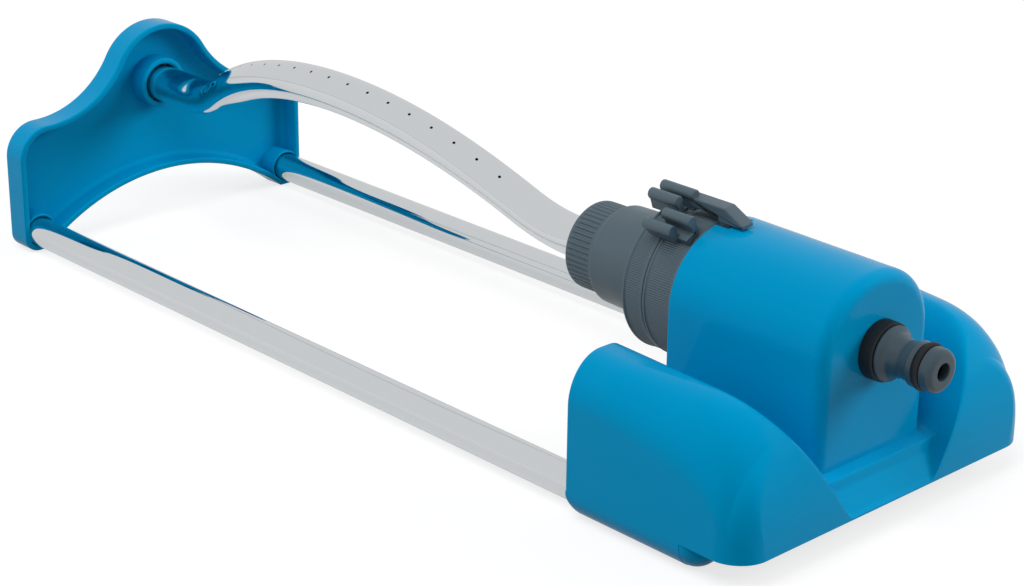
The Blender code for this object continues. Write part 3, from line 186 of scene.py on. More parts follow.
def rounded(corners, steps=6, closed=True):
    """Outline through (a, b, radius) corners, each turned into a tangent arc of its radius.

    A point close to each end of an arc keeps the shading of the flats beside it even.
    """
    out = []
    count = len(corners)
    for index, (a, b, radius) in enumerate(corners):
        point = np.array([a, b], float)
        ends = not closed and index in (0, count - 1)
        if ends or radius <= 0:
            out.append(point[None])
            continue
        back = np.array(corners[index - 1][:2], float) - point
        ahead = np.array(corners[(index + 1) % count][:2], float) - point
        reach = 0.48 * min(np.linalg.norm(back), np.linalg.norm(ahead))
        back /= np.linalg.norm(back)
        ahead /= np.linalg.norm(ahead)
        half = math.acos(max(-1.0, min(1.0, float(back @ ahead)))) / 2
        if half > math.pi / 2 - 0.02:
            out.append(point[None])
            continue
        length = min(radius / math.tan(half), reach)
        size = length * math.tan(half)
        middle = point + (back + ahead) / np.linalg.norm(back + ahead) * size / math.sin(half)
        first = point + back * length
        last = point + ahead * length
        start = math.atan2(*(first - middle)[::-1])
        turn = math.atan2(*(last - middle)[::-1]) - start
        turn = (turn + math.pi) % (2 * math.pi) - math.pi
        bend = arc(middle, size, math.degrees(start), math.degrees(start + turn), steps)
        extra = min(0.12, reach - length)
        if extra > 0.01:
            out.append((first + back * extra)[None])
        out.append(bend)
        if extra > 0.01:
            out.append((last + ahead * extra)[None])
    return np.concatenate(out)


def grid_faces(rows, cols, wrap_rows=False, wrap_cols=False, start=0):
    """Quads of a grid of points as an (n, 4) array of indices."""
    row = np.arange(rows if wrap_rows else rows - 1)
    col = np.arange(cols if wrap_cols else cols - 1)
    row, col = np.meshgrid(row, col, indexing="ij")
    after_row = (row + 1) % rows
    after_col = (col + 1) % cols
    quads = [row * cols + col, row * cols + after_col,
             after_row * cols + after_col, after_row * cols + col]
    return np.stack(quads, -1).reshape(-1, 4) + start


def in_scene(name, data):
    """New object with this data, linked to the scene."""
    made = bpy.data.objects.new(name, data)
    bpy.context.scene.collection.objects.link(made)
    return made


def solid(points, faces):
    """Mesh of points in mm; doubled points are merged and its faces turned outwards."""
    data = bpy.data.meshes.new("shape")
    data.from_pydata(np.asarray(points, float).reshape(-1, 3) * MM, [], faces)
    work = bmesh.new()
    work.from_mesh(data)
    bmesh.ops.remove_doubles(work, verts=work.verts, dist=2e-7)
    bmesh.ops.dissolve_degenerate(work, edges=work.edges, dist=1e-8)
    bmesh.ops.recalc_face_normals(work, faces=work.faces)
    work.to_mesh(data)
    work.free()
    return in_scene("shape", data)


def lathe(profile, segments=128, centre=(0.0, AXIS_Z), relief=None):
    """Surface of revolution: (x, radius) turned about a line along X at a (y, z) centre.

    relief(x, angle) is added to the radius, so ribs and knurls are part of the surface.
    """
    angle = np.linspace(0, 2 * np.pi, segments, endpoint=False)
    x = np.repeat(profile[:, :1], segments, 1)
    radius = np.repeat(profile[:, 1:], segments, 1)
    turned = np.repeat(angle[None], len(profile), 0)
    if relief:
        radius = radius + relief(x, turned)
    points = np.stack([x, centre[0] - radius * np.sin(turned),
                       centre[1] + radius * np.cos(turned)], -1)
    return solid(points, grid_faces(*x.shape, True, True).tolist())


def capped(loops):
    """Solid through closed loops of points, one row each, with a flat face on both ends."""
    rows, cols = loops.shape[:2]
    faces = grid_faces(rows, cols, False, True).tolist()
    faces.append(list(range(cols)))
    faces.append(list(range((rows - 1) * cols, rows * cols)))
    return solid(loops, faces)


def drawn(outline, start, end, edge, steps=4, place=None):
    """Closed (y, z) outline drawn along X; at both ends it shrinks round an edge radius."""
    back = np.roll(outline, 1, 0)
    ahead = np.roll(outline, -1, 0)
    along = (ahead - back) / np.linalg.norm(ahead - back, axis=1)[:, None]
    normal = np.stack([along[:, 1], -along[:, 0]], -1)
    area = np.sum(outline[:, 0] * ahead[:, 1] - ahead[:, 0] * outline[:, 1])
    if area < 0:
        normal = -normal
    turn = np.radians(np.linspace(0, 90, steps + 1))
    inset = edge * (1 - np.sin(turn))
    depth = edge * (1 - np.cos(turn))
    inset = np.concatenate([[edge + 0.06], inset, inset[::-1], [edge + 0.06]])
    depth = np.concatenate([[start], start + depth, end - depth[::-1], [end]])
    flat = outline[None] - normal[None] * inset[:, None, None]
    loops = np.concatenate([np.repeat(depth[:, None, None], flat.shape[1], 1), flat], 2)
    return capped(loops if place is None else place(loops))


def densified(profile, steps, above):
    """Profile whose long runs above a radius are cut into even steps, so a relief can follow."""
    dense = []
    for first, last in zip(profile, np.roll(profile, -1, 0)):
        count = steps if abs(last[0] - first[0]) > 4 and first[1] > above else 1
        dense.append(first + (last - first) * np.arange(count)[:, None] / count)
    return np.concatenate(dense)


def sector(first, last, inner, outer, count=15):
    """Outline (y, z) of a piece of a ring round the pivot axis, between two angles."""
    angle = np.radians(np.linspace(first, last, count))
    near = np.stack([-inner * np.sin(angle), AXIS_Z + inner * np.cos(angle)], -1)
    far = np.stack([-outer * np.sin(angle), AXIS_Z + outer * np.cos(angle)], -1)
    return np.concatenate([near, far[::-1]])


def tilted(points, degrees):
    """Points (x, y, z) about the pivot axis, turned round it and lifted to its height."""
    y = points[..., 1]
    z = points[..., 2]
    turn = math.radians(degrees)
    return np.stack([points[..., 0], y * math.cos(turn) - z * math.sin(turn),
                     AXIS_Z + y * math.sin(turn) + z * math.cos(turn)], -1)


def merge(*parts):
    """One object out of several; each keeps its own closed skin."""
    work = bmesh.new()
    for part in parts:
        work.from_mesh(part.data)
        data = part.data
        bpy.data.objects.remove(part, do_unlink=True)
        bpy.data.meshes.remove(data)
    data = bpy.data.meshes.new("shape")
    work.to_mesh(data)
    work.free()
    return in_scene("shape", data)


def combine(target, other, operation):
    """Apply an exact Boolean to the target's mesh, close its seams and remove the other object."""
    modifier = target.modifiers.new("combine", "BOOLEAN")
    modifier.operation = operation
    modifier.solver = "EXACT"
    modifier.object = other
    bpy.context.view_layer.update()
    graph = bpy.context.evaluated_depsgraph_get()
    result = bpy.data.meshes.new_from_object(target.evaluated_get(graph))
    work = bmesh.new()
    work.from_mesh(result)
    bmesh.ops.remove_doubles(work, verts=work.verts, dist=2e-6)
    bmesh.ops.dissolve_degenerate(work, edges=work.edges, dist=1e-7)
    loose = [edge for edge in work.edges if edge.is_boundary]
    bmesh.ops.holes_fill(work, edges=loose, sides=12)
    work.to_mesh(result)
    work.free()
    target.modifiers.clear()
    spent = [target.data, other.data]
    target.data = result
    bpy.data.objects.remove(other, do_unlink=True)
    for data in spent:
        bpy.data.meshes.remove(data)


def rod(start, end, radius, centre=(0.0, AXIS_Z), segments=96):
    """A round bar along X, for cutting or joining."""
    profile = np.array([(start, 0.0), (start, radius), (end, radius), (end, 0.0)])
    return lathe(profile, segments, centre)


def post(low, high, radius, x, y, segments=48):
    """An upright round bar, for cutting or joining."""
    made = rod(low, high, radius, (0.0, 0.0), segments)
    made.data.transform(Matrix.Translation((x * MM, y * MM, 0)) @ Matrix.Rotation(
        math.radians(-90), 4, "Y"))
    return made


def piece(made, name, finish, body, slot, *nodes, angle=35.0):
    """Name a finished piece, give it its finish, and hand it to the frame."""
    made.name = name
    made.data.name = name
    made.data.materials.clear()
    made.data.materials.append(finish)
    made.data.shade_smooth()
    made.data.set_sharp_from_angle(angle=math.radians(angle))
    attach(made, body)
    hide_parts(*nodes)


# Finishes

def set_inputs(node, values):
    """Put constants on a node's input sockets."""
    for key, value in values.items():
        node.inputs[key].default_value = value


def add_node(tree, kind, values=None, links=None, **attributes):
    """Add a node, set its attributes and inputs, and link outputs into it."""
    made = tree.nodes.new(kind)
    for key, value in attributes.items():
        setattr(made, key, value)
    set_inputs(made, values or {})
    for key, output in (links or {}).items():
        tree.links.new(output, made.inputs[key])
    return made


def new_finish(name):
    """Empty material with its tree, its shader and object coordinates in millimetres."""
    found = bpy.data.materials.new(name)
    found.use_nodes = True
    tree = found.node_tree
    shader = tree.nodes["Principled BSDF"]
    place = add_node(tree, "ShaderNodeTexCoord")
    scaled = add_node(tree, "ShaderNodeMapping", {"Scale": (1000, 1000, 1000)},
                      {"Vector": place.outputs["Object"]})
    return found, tree, shader, scaled.outputs["Vector"]


def colours():
    """The sprinkler's colours, as set in the sidebar."""
    return bpy.context.scene.sprinkler_colours


def measures():
    """The sprinkler's edge roundings, ribs and knurls, as set in the sidebar."""
    return bpy.context.scene.sprinkler_sizes


def skin(tree, shader, haze, shine, height, strength, depth):
    """Roughness and relief of a surface, each with a pattern of its own.

    Shine holds the least and the greatest roughness, and the depth is in metres.
    """
    gloss = add_node(tree, "ShaderNodeMapRange",
                     {"From Min": 0.3, "From Max": 0.7, "To Min": shine[0], "To Max": shine[1]},
                     {"Value": haze})
    tree.links.new(gloss.outputs["Result"], shader.inputs["Roughness"])
    bump = add_node(tree, "ShaderNodeBump", {"Strength": strength, "Distance": depth},
                    {"Height": height})
    tree.links.new(bump.outputs["Normal"], shader.inputs["Normal"])


def blue_abs():
    """Glossy injection-moulded ABS, dyed through, from a polished steel mould.

    The polished mould leaves a mirror-like skin, so the studio shows in it with a soft edge.
    Flow of the melt leaves a faint waviness about 9 mm long, and handling leaves a haze in
    patches of about 17 mm. The dye tints the reflection.
    """
    found = bpy.data.materials.get("glossy_blue_abs")
    if found:
        return found
    found, tree, shader, place = new_finish("glossy_blue_abs")
    haze = add_node(tree, "ShaderNodeTexNoise",
                    {"Scale": 0.06, "Detail": 5.0, "Roughness": 0.6}, {"Vector": place})
    waves = add_node(tree, "ShaderNodeTexNoise", {"Scale": 0.11, "Detail": 2.0}, {"Vector": place})
    grain = add_node(tree, "ShaderNodeTexNoise", {"Scale": 2.2, "Detail": 2.0}, {"Vector": place})
    height = add_node(tree, "ShaderNodeMath", {1: 0.02},
                      {0: grain.outputs["Fac"], 2: waves.outputs["Fac"]}, operation="MULTIPLY_ADD")
    skin(tree, shader, haze.outputs["Fac"], (0.1, 0.2), height.outputs["Value"], 0.12, 0.4 * MM)
    blue = (*colours().blue, 1.0)
    set_inputs(shader, {"Base Color": blue, "IOR": 1.54, "Specular IOR Level": 0.12,
                        "Specular Tint": blue})
    return found


def satin_plastic(name, colour, shine, depth):
    """Moulded plastic with a spark-eroded mould skin: an even, fine, dull grain.

    The grain is 0.33 mm wide and its depth is in millimetres. Wear changes the shine in patches
    of about 8 mm.
    """
    found = bpy.data.materials.get(name)
    if found:
        return found
    found, tree, shader, place = new_finish(name)
    grain = add_node(tree, "ShaderNodeTexNoise",
                     {"Scale": 3.0, "Detail": 4.0, "Roughness": 0.6}, {"Vector": place})
    wear = add_node(tree, "ShaderNodeTexNoise", {"Scale": 0.12, "Detail": 4.0}, {"Vector": place})
    skin(tree, shader, wear.outputs["Fac"], shine, grain.outputs["Fac"], 0.35, depth * MM)
    set_inputs(shader, {"Base Color": (*colour, 1.0), "IOR": 1.5})
    return found


def grey_acetal():
    """Satin grey acetal: self-coloured, slightly waxy, with a fine even grain."""
    return satin_plastic("satin_grey_acetal", colours().grey, (0.34, 0.46), 0.03)


def slate_nylon():
    """Dark slate nylon of the hose connector: smoother than the head, so it shines a little."""
    return satin_plastic("slate_nylon", colours().slate, (0.26, 0.36), 0.015)


def black_rubber():
    """Moulded nitrile rubber: near black, with a dull bloom and hardly any highlight."""
    return satin_plastic("black_nitrile_rubber", colours().rubber, (0.5, 0.68), 0.03)


def natural_acetal():
    """Undyed acetal of the inner motor parts: milky, waxy and smooth."""
    return satin_plastic("natural_acetal", colours().natural, (0.4, 0.5), 0.01)


def drawn_metal(name, colour, shine):
    """Metal drawn or turned along X: faint lines 0.6 mm apart run 50 mm along it.

    Real drawing lines are finer. They are as coarse here as they need to be to show.
    """
    found = bpy.data.materials.get(name)
    if found:
        return found
    found, tree, shader, place = new_finish(name)
    stretched = add_node(tree, "ShaderNodeMapping", {"Scale": (0.02, 1.6, 1.6)}, {"Vector": place})
    lines = add_node(tree, "ShaderNodeTexNoise",
                     {"Scale": 1.0, "Detail": 4.0, "Roughness": 0.65},
                     {"Vector": stretched.outputs["Vector"]})
    skin(tree, shader, lines.outputs["Fac"], shine, lines.outputs["Fac"], 0.04, 0.02 * MM)
    set_inputs(shader, {"Base Color": (*colour, 1.0), "Metallic": 1.0})
    return found


def polished_aluminium():
    """Drawn aluminium tube, polished and clear anodised: it mirrors the bracket and the sky."""
    return drawn_metal("drawn_aluminium_tube", colours().metal, (0.03, 0.07))


def zinc_steel():
    """Zinc-plated steel of the screws and pins: bright, cool and slightly hazy."""
    return drawn_metal("zinc_plated_steel", linear("C2C6CA"), (0.22, 0.34))


# End bracket and rails

def bracket_outline(inset):
    """Outlines of the end bracket, one row for each inset, as closed loops of (y, z).

    A bell over the pivot runs through a concave saddle to the shoulder, down to a rounded foot
    and along the arch under the bracket; the other half is its mirror image.
    """
    inset = np.atleast_1d(np.asarray(inset, float))[:, None]

    def bend(cy, cz, radius, start, end, steps):
        share = np.linspace(0, 1, steps + 1)[None]
        angle = np.radians(start + (end - start) * share)
        return np.stack([cy + radius * np.cos(angle), cz + radius * np.sin(angle)], -1)

    saddle_z = SHOULDER_Z + SADDLE_R
    rise = saddle_z - BELL_Z
    saddle_y = math.sqrt((BELL_R + SADDLE_R) ** 2 - rise ** 2)
    meet = math.degrees(math.atan2(rise, saddle_y))
    arch_z = ARCH_TOP - ARCH_R
    spring = np.degrees(np.arcsin((inset - arch_z) / (ARCH_R + inset)))
    half = np.concatenate([
        bend(0.0, BELL_Z, BELL_R - inset, 90, meet, 32),
        bend(saddle_y, saddle_z, SADDLE_R + inset, 180 + meet, 270, 22)[:, 1:],
        bend(BRACKET_HALF - SHOULDER_R, SHOULDER_Z - SHOULDER_R, SHOULDER_R - inset, 90, 0, 18),
        bend(BRACKET_HALF - FOOT_R, FOOT_R, FOOT_R - inset, 0, -90, 12),
        bend(0.0, arch_z, ARCH_R + inset, spring, 90, 48),
    ], 1)
    return np.concatenate([half, half[:, -2:0:-1] * (-1, 1)], 1)


def make_bracket():
    """End bracket: a dish with a bell-shaped rim, a pivot boss and two rail bosses, all bored."""
    edge = measures().rim_edge / MM
    floor = X_BACK + BRACKET_WALL
    section = rounded([(9.0, X_BACK, 0), (0.0, X_BACK, 0.5), (0.0, X_RIM, edge),
                       (BRACKET_WALL, X_RIM, edge), (BRACKET_WALL, floor, 3.2),
                       (6.8, floor, 0)], 7, closed=False)[1:-1]
    loops = bracket_outline(section[:, 0])
    across = np.repeat(section[:, None, 1:], loops.shape[1], 1)
    dish = capped(np.concatenate([across, loops], 2))
    sockets = [(0.0, AXIS_Z, 10.35, 8.05, X_RIM - 0.15)]
    sockets += [(y, RAIL_Z, 7.1, RAIL_BORE, X_RIM - 0.45) for y in (-RAIL_Y, RAIL_Y)]
    bosses = []
    bores = []
    for y, z, outer, bore, top in sockets:
        ring = rounded([(floor - 1, 0.0, 0), (floor - 1, outer, 0), (top, outer, 0.7),
                        (top, 0.0, 0)], 5)
        bosses.append(lathe(ring, 96, (y, z)))
        ring = np.array([(floor + 0.02, 0.0), (floor + 0.02, bore), (top - 0.7, bore),
                         (top + 0.3, bore + 1.0), (top + 0.3, 0.0)])
        bores.append(lathe(ring, 96, (y, z)))
    combine(dish, merge(*bosses), "UNION")
    combine(dish, merge(*bores), "DIFFERENCE")
    piece(dish, "bracket_shell", blue_abs(), "base", "blue_plastic", "end_bracket")


def make_rails():
    """The two rails: straight thin-walled tubes between the bracket and the housing."""
    for name, side in (("near_rail", -1), ("far_rail", 1)):
        start, end = (corner.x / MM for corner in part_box(name))
        inner = RAIL_R - RAIL_WALL
        profile = rounded([(start, RAIL_R, 0.2), (end, RAIL_R, 0.2), (end, inner, 0.1),
                           (start, inner, 0.1)], 3)
        made = lathe(profile, 128, (side * RAIL_Y, RAIL_Z))
        piece(made, name + "_tube", polished_aluminium(), "base", "polished_aluminium", name)


# Motor housing

def softly(first, second, reach):
    """Lower of two heights, with the corner between them rounded over a reach."""
    share = np.clip(reach - np.abs(first - second), 0, None) / reach
    return np.minimum(first, second) - share * share * reach / 4


def crest_at(x, inset):
    """Height of the fenders' crest over the base: nearly level, then a superellipse to the nose."""
    start = X_REAR + CREST_LEVEL
    share = np.clip((x - start) / (X_FRONT - inset - start), 0, 1)
    level = CREST - inset - CREST_DROP * np.clip((x - X_REAR) / CREST_LEVEL, 0, 1)
    return level * np.maximum(0.04, (1 - share ** CREST_POWER) ** (1 / CREST_POWER))


def platform_at(x, inset):
    """Height over the base of the floor between the fenders: a ledge, a step and a ramp."""
    places = X_TUNNEL + np.array([-90.0, -0.5, 3.6, 3.9, 4.5, 5.0, 8.7, 9.9])
    heights = np.array([14.3, 14.2, 13.1, 12.7, 9.9, 9.0, 2.9, 1.9])
    return np.interp(x + inset, places, heights) - inset


def housing_stations(inset, rear_edge, tunnel_edge):
    """Stations of the housing's skin along X, one row each.

    A row is x, the rear edge's inset, the tunnel edge's inset, and 1 where the tunnel stands or 0
    in front of it. They are close together on both edges and on the ledge.
    """
    turn = np.radians(np.linspace(0, 90, 7))
    rear = np.stack([X_REAR + inset + rear_edge * (1 - np.cos(turn)),
                     rear_edge * (1 - np.sin(turn))], -1)
    start = X_REAR + inset + rear_edge + 0.15
    front = X_TUNNEL - inset
    middle = np.linspace(start, front - tunnel_edge - 0.15, 30)
    turn = np.radians(np.linspace(0, 90, 13))
    corner = np.stack([front - tunnel_edge * (1 - np.sin(turn)), tunnel_edge * (1 - np.cos(turn))],
                      -1)
    ledge = np.linspace(0.02, 0.53, 31)
    nose = np.sin(np.radians(np.linspace(33.5, 90, 20)))
    after = front + (X_FRONT - inset - front) * np.concatenate([ledge, nose])
    rows = [(X_REAR + inset, rear_edge + 0.1, 0.0, 1)]
    rows += [(x, drop, 0.0, 1) for x, drop in rear]
    rows += [(x, 0.0, 0.0, 1) for x in middle]
    rows += [(x, 0.0, drop, 1) for x, drop in corner]
    rows += [(front, 0.0, tunnel_edge + 0.1, 1), (front, 0.0, tunnel_edge + 0.1, 0)]
    rows += [(x, 0.0, tunnel_edge + 0.1, 0) for x in after]
    return np.array(rows)


def housing_skin(inset, rear_edge, tunnel_edge):
    """Skin of the housing as a grid of points: one row for each station along X.

    Half a section runs from the middle over the tunnel's arch, a superellipse, down its wall and
    round its foot, up the fender's slope to the crest, round an elliptic corner and down the side.
    """
    rows = housing_stations(inset, rear_edge, tunnel_edge)
    x, section_in, tunnel_in, has_tunnel = rows.T[:, :, None]
    total = section_in + inset
    crest = crest_at(x, inset) - section_in
    platform = platform_at(x, inset) - section_in
    corner = NOSE_CORNER - inset
    past = np.clip(x - (X_FRONT - inset - corner), 0, corner)
    width = HOUSING_HALF - total - corner + np.sqrt(corner ** 2 - past ** 2)

    # The fender's outer corner grows along X, and its lower part shrinks where the crest is low
    fall = 15.9 + 8.5 * np.clip((x - X_REAR - 14.0) / 50.0, 0, 1) - total
    bend = np.minimum(fall, 0.74 * crest)
    across = 0.853 * fall * (bend / fall) ** 2.96

    # The tunnel tapers towards its front, and its inner skin clears the motor
    along = (x - X_REAR) / (X_TUNNEL - X_REAR)
    clear = MOTOR_CLEAR * (inset > 0)
    half_wide = np.maximum(TUNNEL_HALF - 1.0 * along - total, clear) - tunnel_in
    high = np.maximum(TUNNEL_HIGH - 0.6 * along - total, clear) - tunnel_in

    # The slope starts beside the tunnel's foot and meets the crest in a rounded edge
    lowered = total * math.sqrt(1 + SLOPE ** 2)
    foot_y = 24.6 - 2.35 * np.clip((X_REAR + 59.0 - x) / 59.0, 0, 1)
    reach = np.maximum(0.6, CREST_REACH * (crest / CREST) ** 3)

    def ground(y):
        slope = 8.5 + (y - foot_y) * SLOPE - lowered
        floor = -softly(-slope, -platform, 2.5)
        return BASE_Z + softly(np.maximum(floor, RIM_Z - BASE_Z + 0.15), crest, reach)

    # Over the tunnel: arch, wall and rounded foot
    angle = np.radians(np.linspace(90, 0, 37))[None]
    arch_y = half_wide * np.cos(angle) ** (2 / TUNNEL_POWER)
    arch_z = AXIS_Z + high * np.sin(angle) ** (2 / TUNNEL_POWER)
    foot = ground(half_wide)
    share = np.linspace(0, 1, 5)[None, 1:]
    wall_z = AXIS_Z + (foot + 1.6 - AXIS_Z) * share
    wall_y = half_wide + 0 * wall_z
    share = np.linspace(0, 1, 8)[None, 1:]
    end_y = half_wide + 1.2
    turn_y = half_wide * (1 - share ** 2) + end_y * share ** 2
    turn_z = ((foot + 1.6) * (1 - share) ** 2 + 2 * foot * share * (1 - share)
              + ground(end_y) * share ** 2)
    middle_y = np.concatenate([arch_y, wall_y, turn_y], 1)
    middle_z = np.concatenate([arch_z, wall_z, turn_z], 1)

    # In front of the tunnel the same points lie on the ledge and the ramp
    flat_y = end_y * np.linspace(0, 1, middle_y.shape[1])[None]
    middle_y = middle_y * has_tunnel + flat_y * (1 - has_tunnel)
    middle_z = middle_z * has_tunnel + ground(flat_y) * (1 - has_tunnel)

    # Slope, corner and side of the fender
    share = np.linspace(0, 1, 49)[None, 1:]
    slope_y = end_y + (width - across - end_y) * share
    slope_z = ground(slope_y)
    angle = np.radians(np.linspace(90, 0, 25))[None, 1:]
    side_y = width - across + across * np.cos(angle)
    side_z = BASE_Z + crest - bend + bend * np.sin(angle)
    last = slope_z[:, -1:] - (BASE_Z + crest)
    side_z = np.maximum(side_z + last * np.sin(angle), RIM_Z + 0.2)
    share = np.array([0.03, 0.5, 1.0])[None]
    down_z = side_z[:, -1:] + (RIM_Z - side_z[:, -1:]) * share
    down_y = width + 0 * down_z
    half_y = np.concatenate([middle_y, slope_y, side_y, down_y], 1)
    half_z = np.concatenate([middle_z, slope_z, side_z, down_z], 1)
    full_y = np.concatenate([-half_y[:, :0:-1], half_y], 1)
    full_z = np.concatenate([half_z[:, :0:-1], half_z], 1)
    return np.stack([x + 0 * full_y, full_y, np.maximum(full_z, RIM_Z)], -1)


def make_housing():
    """Housing: an outer and an inner skin, joined at the rim.

    It is cut for the inlet, the motor's shaft, the rails and the trip lever's notch.
    """
    sizes = measures()
    edge = sizes.tunnel_edge / MM
    outer = housing_skin(0.0, sizes.rear_edge / MM, edge)
    inner = housing_skin(HOUSING_WALL, 0.3, max(0.3, edge - HOUSING_WALL))
    rows, cols = outer.shape[:2]
    count = rows * cols
    faces = grid_faces(rows, cols).tolist()
    faces += grid_faces(rows, cols, start=count)[:, ::-1].tolist()
    first = np.arange(rows - 1) * cols
    for side in (0, cols - 1):
        near = first + side
        faces += np.stack([near, near + cols, near + cols + count, near + count], -1).tolist()
    for row in (0, rows - 1):
        loop = np.arange(row * cols, (row + 1) * cols)
        faces.append(loop.tolist())
        faces.append((loop + count).tolist())
        faces.append([row * cols, row * cols + cols - 1, row * cols + cols - 1 + count,
                      row * cols + count])
    shell = solid(np.concatenate([outer.reshape(-1, 3), inner.reshape(-1, 3)]), faces)
    cutters = [rod(X_TUNNEL - 5, X_TUNNEL + 6, 8.1), rod(X_REAR - 1, X_REAR + 4, 10.8)]
    cutters += [rod(X_REAR - 1, X_REAR + 4, RAIL_BORE, (side * RAIL_Y, RAIL_Z)) for side in (-1, 1)]
    combine(shell, merge(*cutters), "DIFFERENCE")
    notch = drawn(sector(-14, 14, 21.0, 32.0, 25), X_REAR - 3, X_REAR + 5.6, 0.02, 1)
    combine(shell, notch, "DIFFERENCE")
    piece(shell, "housing_shell", blue_abs(), "base", "blue_plastic", "motor_housing", angle=32)


def make_tray():
    """Base tray: a thin floor between two half-round cradles, with a ball under each front end.

    Its section is drawn along X. Near the rear it is flattened from below round an arc. Four
    screw posts stand on the floor.
    """
    radius = HOUSING_HALF - RAIL_Y
    top = RIM_Z - 0.02
    start = X_REAR
    end = X_REAR + 47.8
    down = arc((RAIL_Y, radius), radius, 0, -90, 14)
    half = np.concatenate([[(RAIL_Y - radius, 2.0), (RAIL_Y - radius, top),
                            (RAIL_Y + radius, top)], down])
    outline = np.concatenate([half, half[::-1] * (-1, 1)])
    turn = np.radians(np.linspace(0, 90, 13))
    x = np.concatenate([start + 3.5 * (1 - np.cos(turn)), [start + 3.7, end]])
    share = np.concatenate([1 - 0.42 * (1 - np.sin(turn)), [1.0, 1.0]])[:, None]
    z = outline[None, :, 1]
    z = np.where(z < radius, radius - (radius - z) * share, z + 0 * share)
    tray = capped(np.stack([x[:, None] + 0 * z, outline[None, :, 0] + 0 * z, z], -1))
    ball = radius - 0.12
    profile = np.concatenate([[(end - 2.0, 0.0), (end - 2.0, ball)],
                              arc((end, 0.0), ball, 90, 0, 14)])
    block = np.array([(RAIL_Y - 9, top - 0.1), (RAIL_Y + 9, top - 0.1), (RAIL_Y + 9, 20.0),
                      (RAIL_Y - 9, 20.0)])
    for side in (-1, 1):
        foot = lathe(profile, 64, (side * RAIL_Y, radius))
        combine(foot, drawn(block * (side, 1), end - 9, end + 9, 0.02, 1), "DIFFERENCE")
        combine(tray, foot, "UNION")
    bores = [rod(start - 1, X_REAR + 46.3, RAIL_BORE, (side * RAIL_Y, RAIL_Z)) for side in (-1, 1)]
    combine(tray, merge(*bores), "DIFFERENCE")
    for x, y in ((12.0, -46.0), (12.0, 46.0), (46.0, -46.0), (46.0, 46.0)):
        combine(tray, post(0.5, 7.6, 4.3, X_REAR + x, y), "UNION")
        combine(tray, post(-1.0, 9.0, 1.8, X_REAR + x, y), "DIFFERENCE")
        combine(tray, post(-1.0, 2.4, 3.1, X_REAR + x, y), "DIFFERENCE")
    piece(tray, "tray_shell", blue_abs(), "base", "blue_plastic", "base_tray")


# Inlet

def make_inlet():
    """Hose connector with its O-ring, and the gasket under its flange."""
    ring = X_NOSE - 5.7
    flange = X_TUNNEL + 5.2
    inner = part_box("inlet_connector")[0].x / MM
    profile = rounded([
        (X_NOSE, 2.85, 0.35), (X_NOSE, 6.9, 2.2), (ring + 1.4, 7.0, 0.25), (ring + 1.4, 6.1, 0.1),
        (ring - 1.4, 6.1, 0.1), (ring - 1.4, 7.2, 0.25), (ring - 3.4, 7.3, 0.5),
        (ring - 4.0, 6.5, 0.3), (ring - 7.4, 6.1, 3.0), (flange + 2.2, 7.0, 2.4),
        (flange + 0.9, 8.9, 0.5), (flange, 8.9, 0.3), (flange, 7.8, 0.2), (inner, 7.8, 0.3),
        (inner, 4.4, 0.2), (X_NOSE - 3.0, 4.4, 0.3), (X_NOSE - 3.0, 2.85, 0.3)], 8)
    made = lathe(profile, 160)
    piece(made, "hose_connector", slate_nylon(), "base", "grey_plastic", "inlet_connector")
    loop = arc((0.0, 6.85), 0.85, 0, 345, 23)
    loop[:, 0] = ring + loop[:, 0] * 1.5
    made = lathe(loop, 160)
    piece(made, "connector_ring", black_rubber(), "base", "black_rubber", "inlet_o_ring")
    start = X_TUNNEL - 0.2
    seal = rounded([(start, 8.1, 0.2), (flange - 0.2, 8.1, 0.2), (flange - 0.2, 9.5, 0.7),
                    (start, 9.6, 0.9)], 6)
    piece(lathe(seal), "shoulder_gasket", black_rubber(), "base", "black_rubber", "shoulder_seal")


# Spray head, rings and lever

def make_head():
    """Spray head: a sleeve for the collar nut, a barrel, a step and the tube the rings turn on."""
    front, rear = (corner.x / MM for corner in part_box("spray_head"))
    nut_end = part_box("collar_nut")[1].x / MM
    start = nut_end + 3.4
    ring_end = nut_end + 26.9
    socket = front + 8.0
    web = ring_end + 2.2
    profile = rounded([
        (front, 7.55, 0.1), (front, 12.6, 0.4), (start, 12.6, 0.2), (start, 16.9, 1.6),
        (ring_end - 6.0, 17.4, 6.0), (ring_end - 0.6, 18.4, 1.0), (ring_end, 22.0, 0.5),
        (rear, 22.0, 0.2), (rear, 19.8, 0.2), (web + 2.2, 19.8, 0.5), (web, 17.6, 0), (web, 6.6, 0),
        (web - 8.0, 6.6, 0), (web - 8.0, 4.2, 0), (socket, 4.2, 0), (socket, 7.55, 0)], 8)
    made = lathe(profile, 160)
    piece(made, "spray_head_body", grey_acetal(), "spray_bar", "grey_plastic", "spray_head")


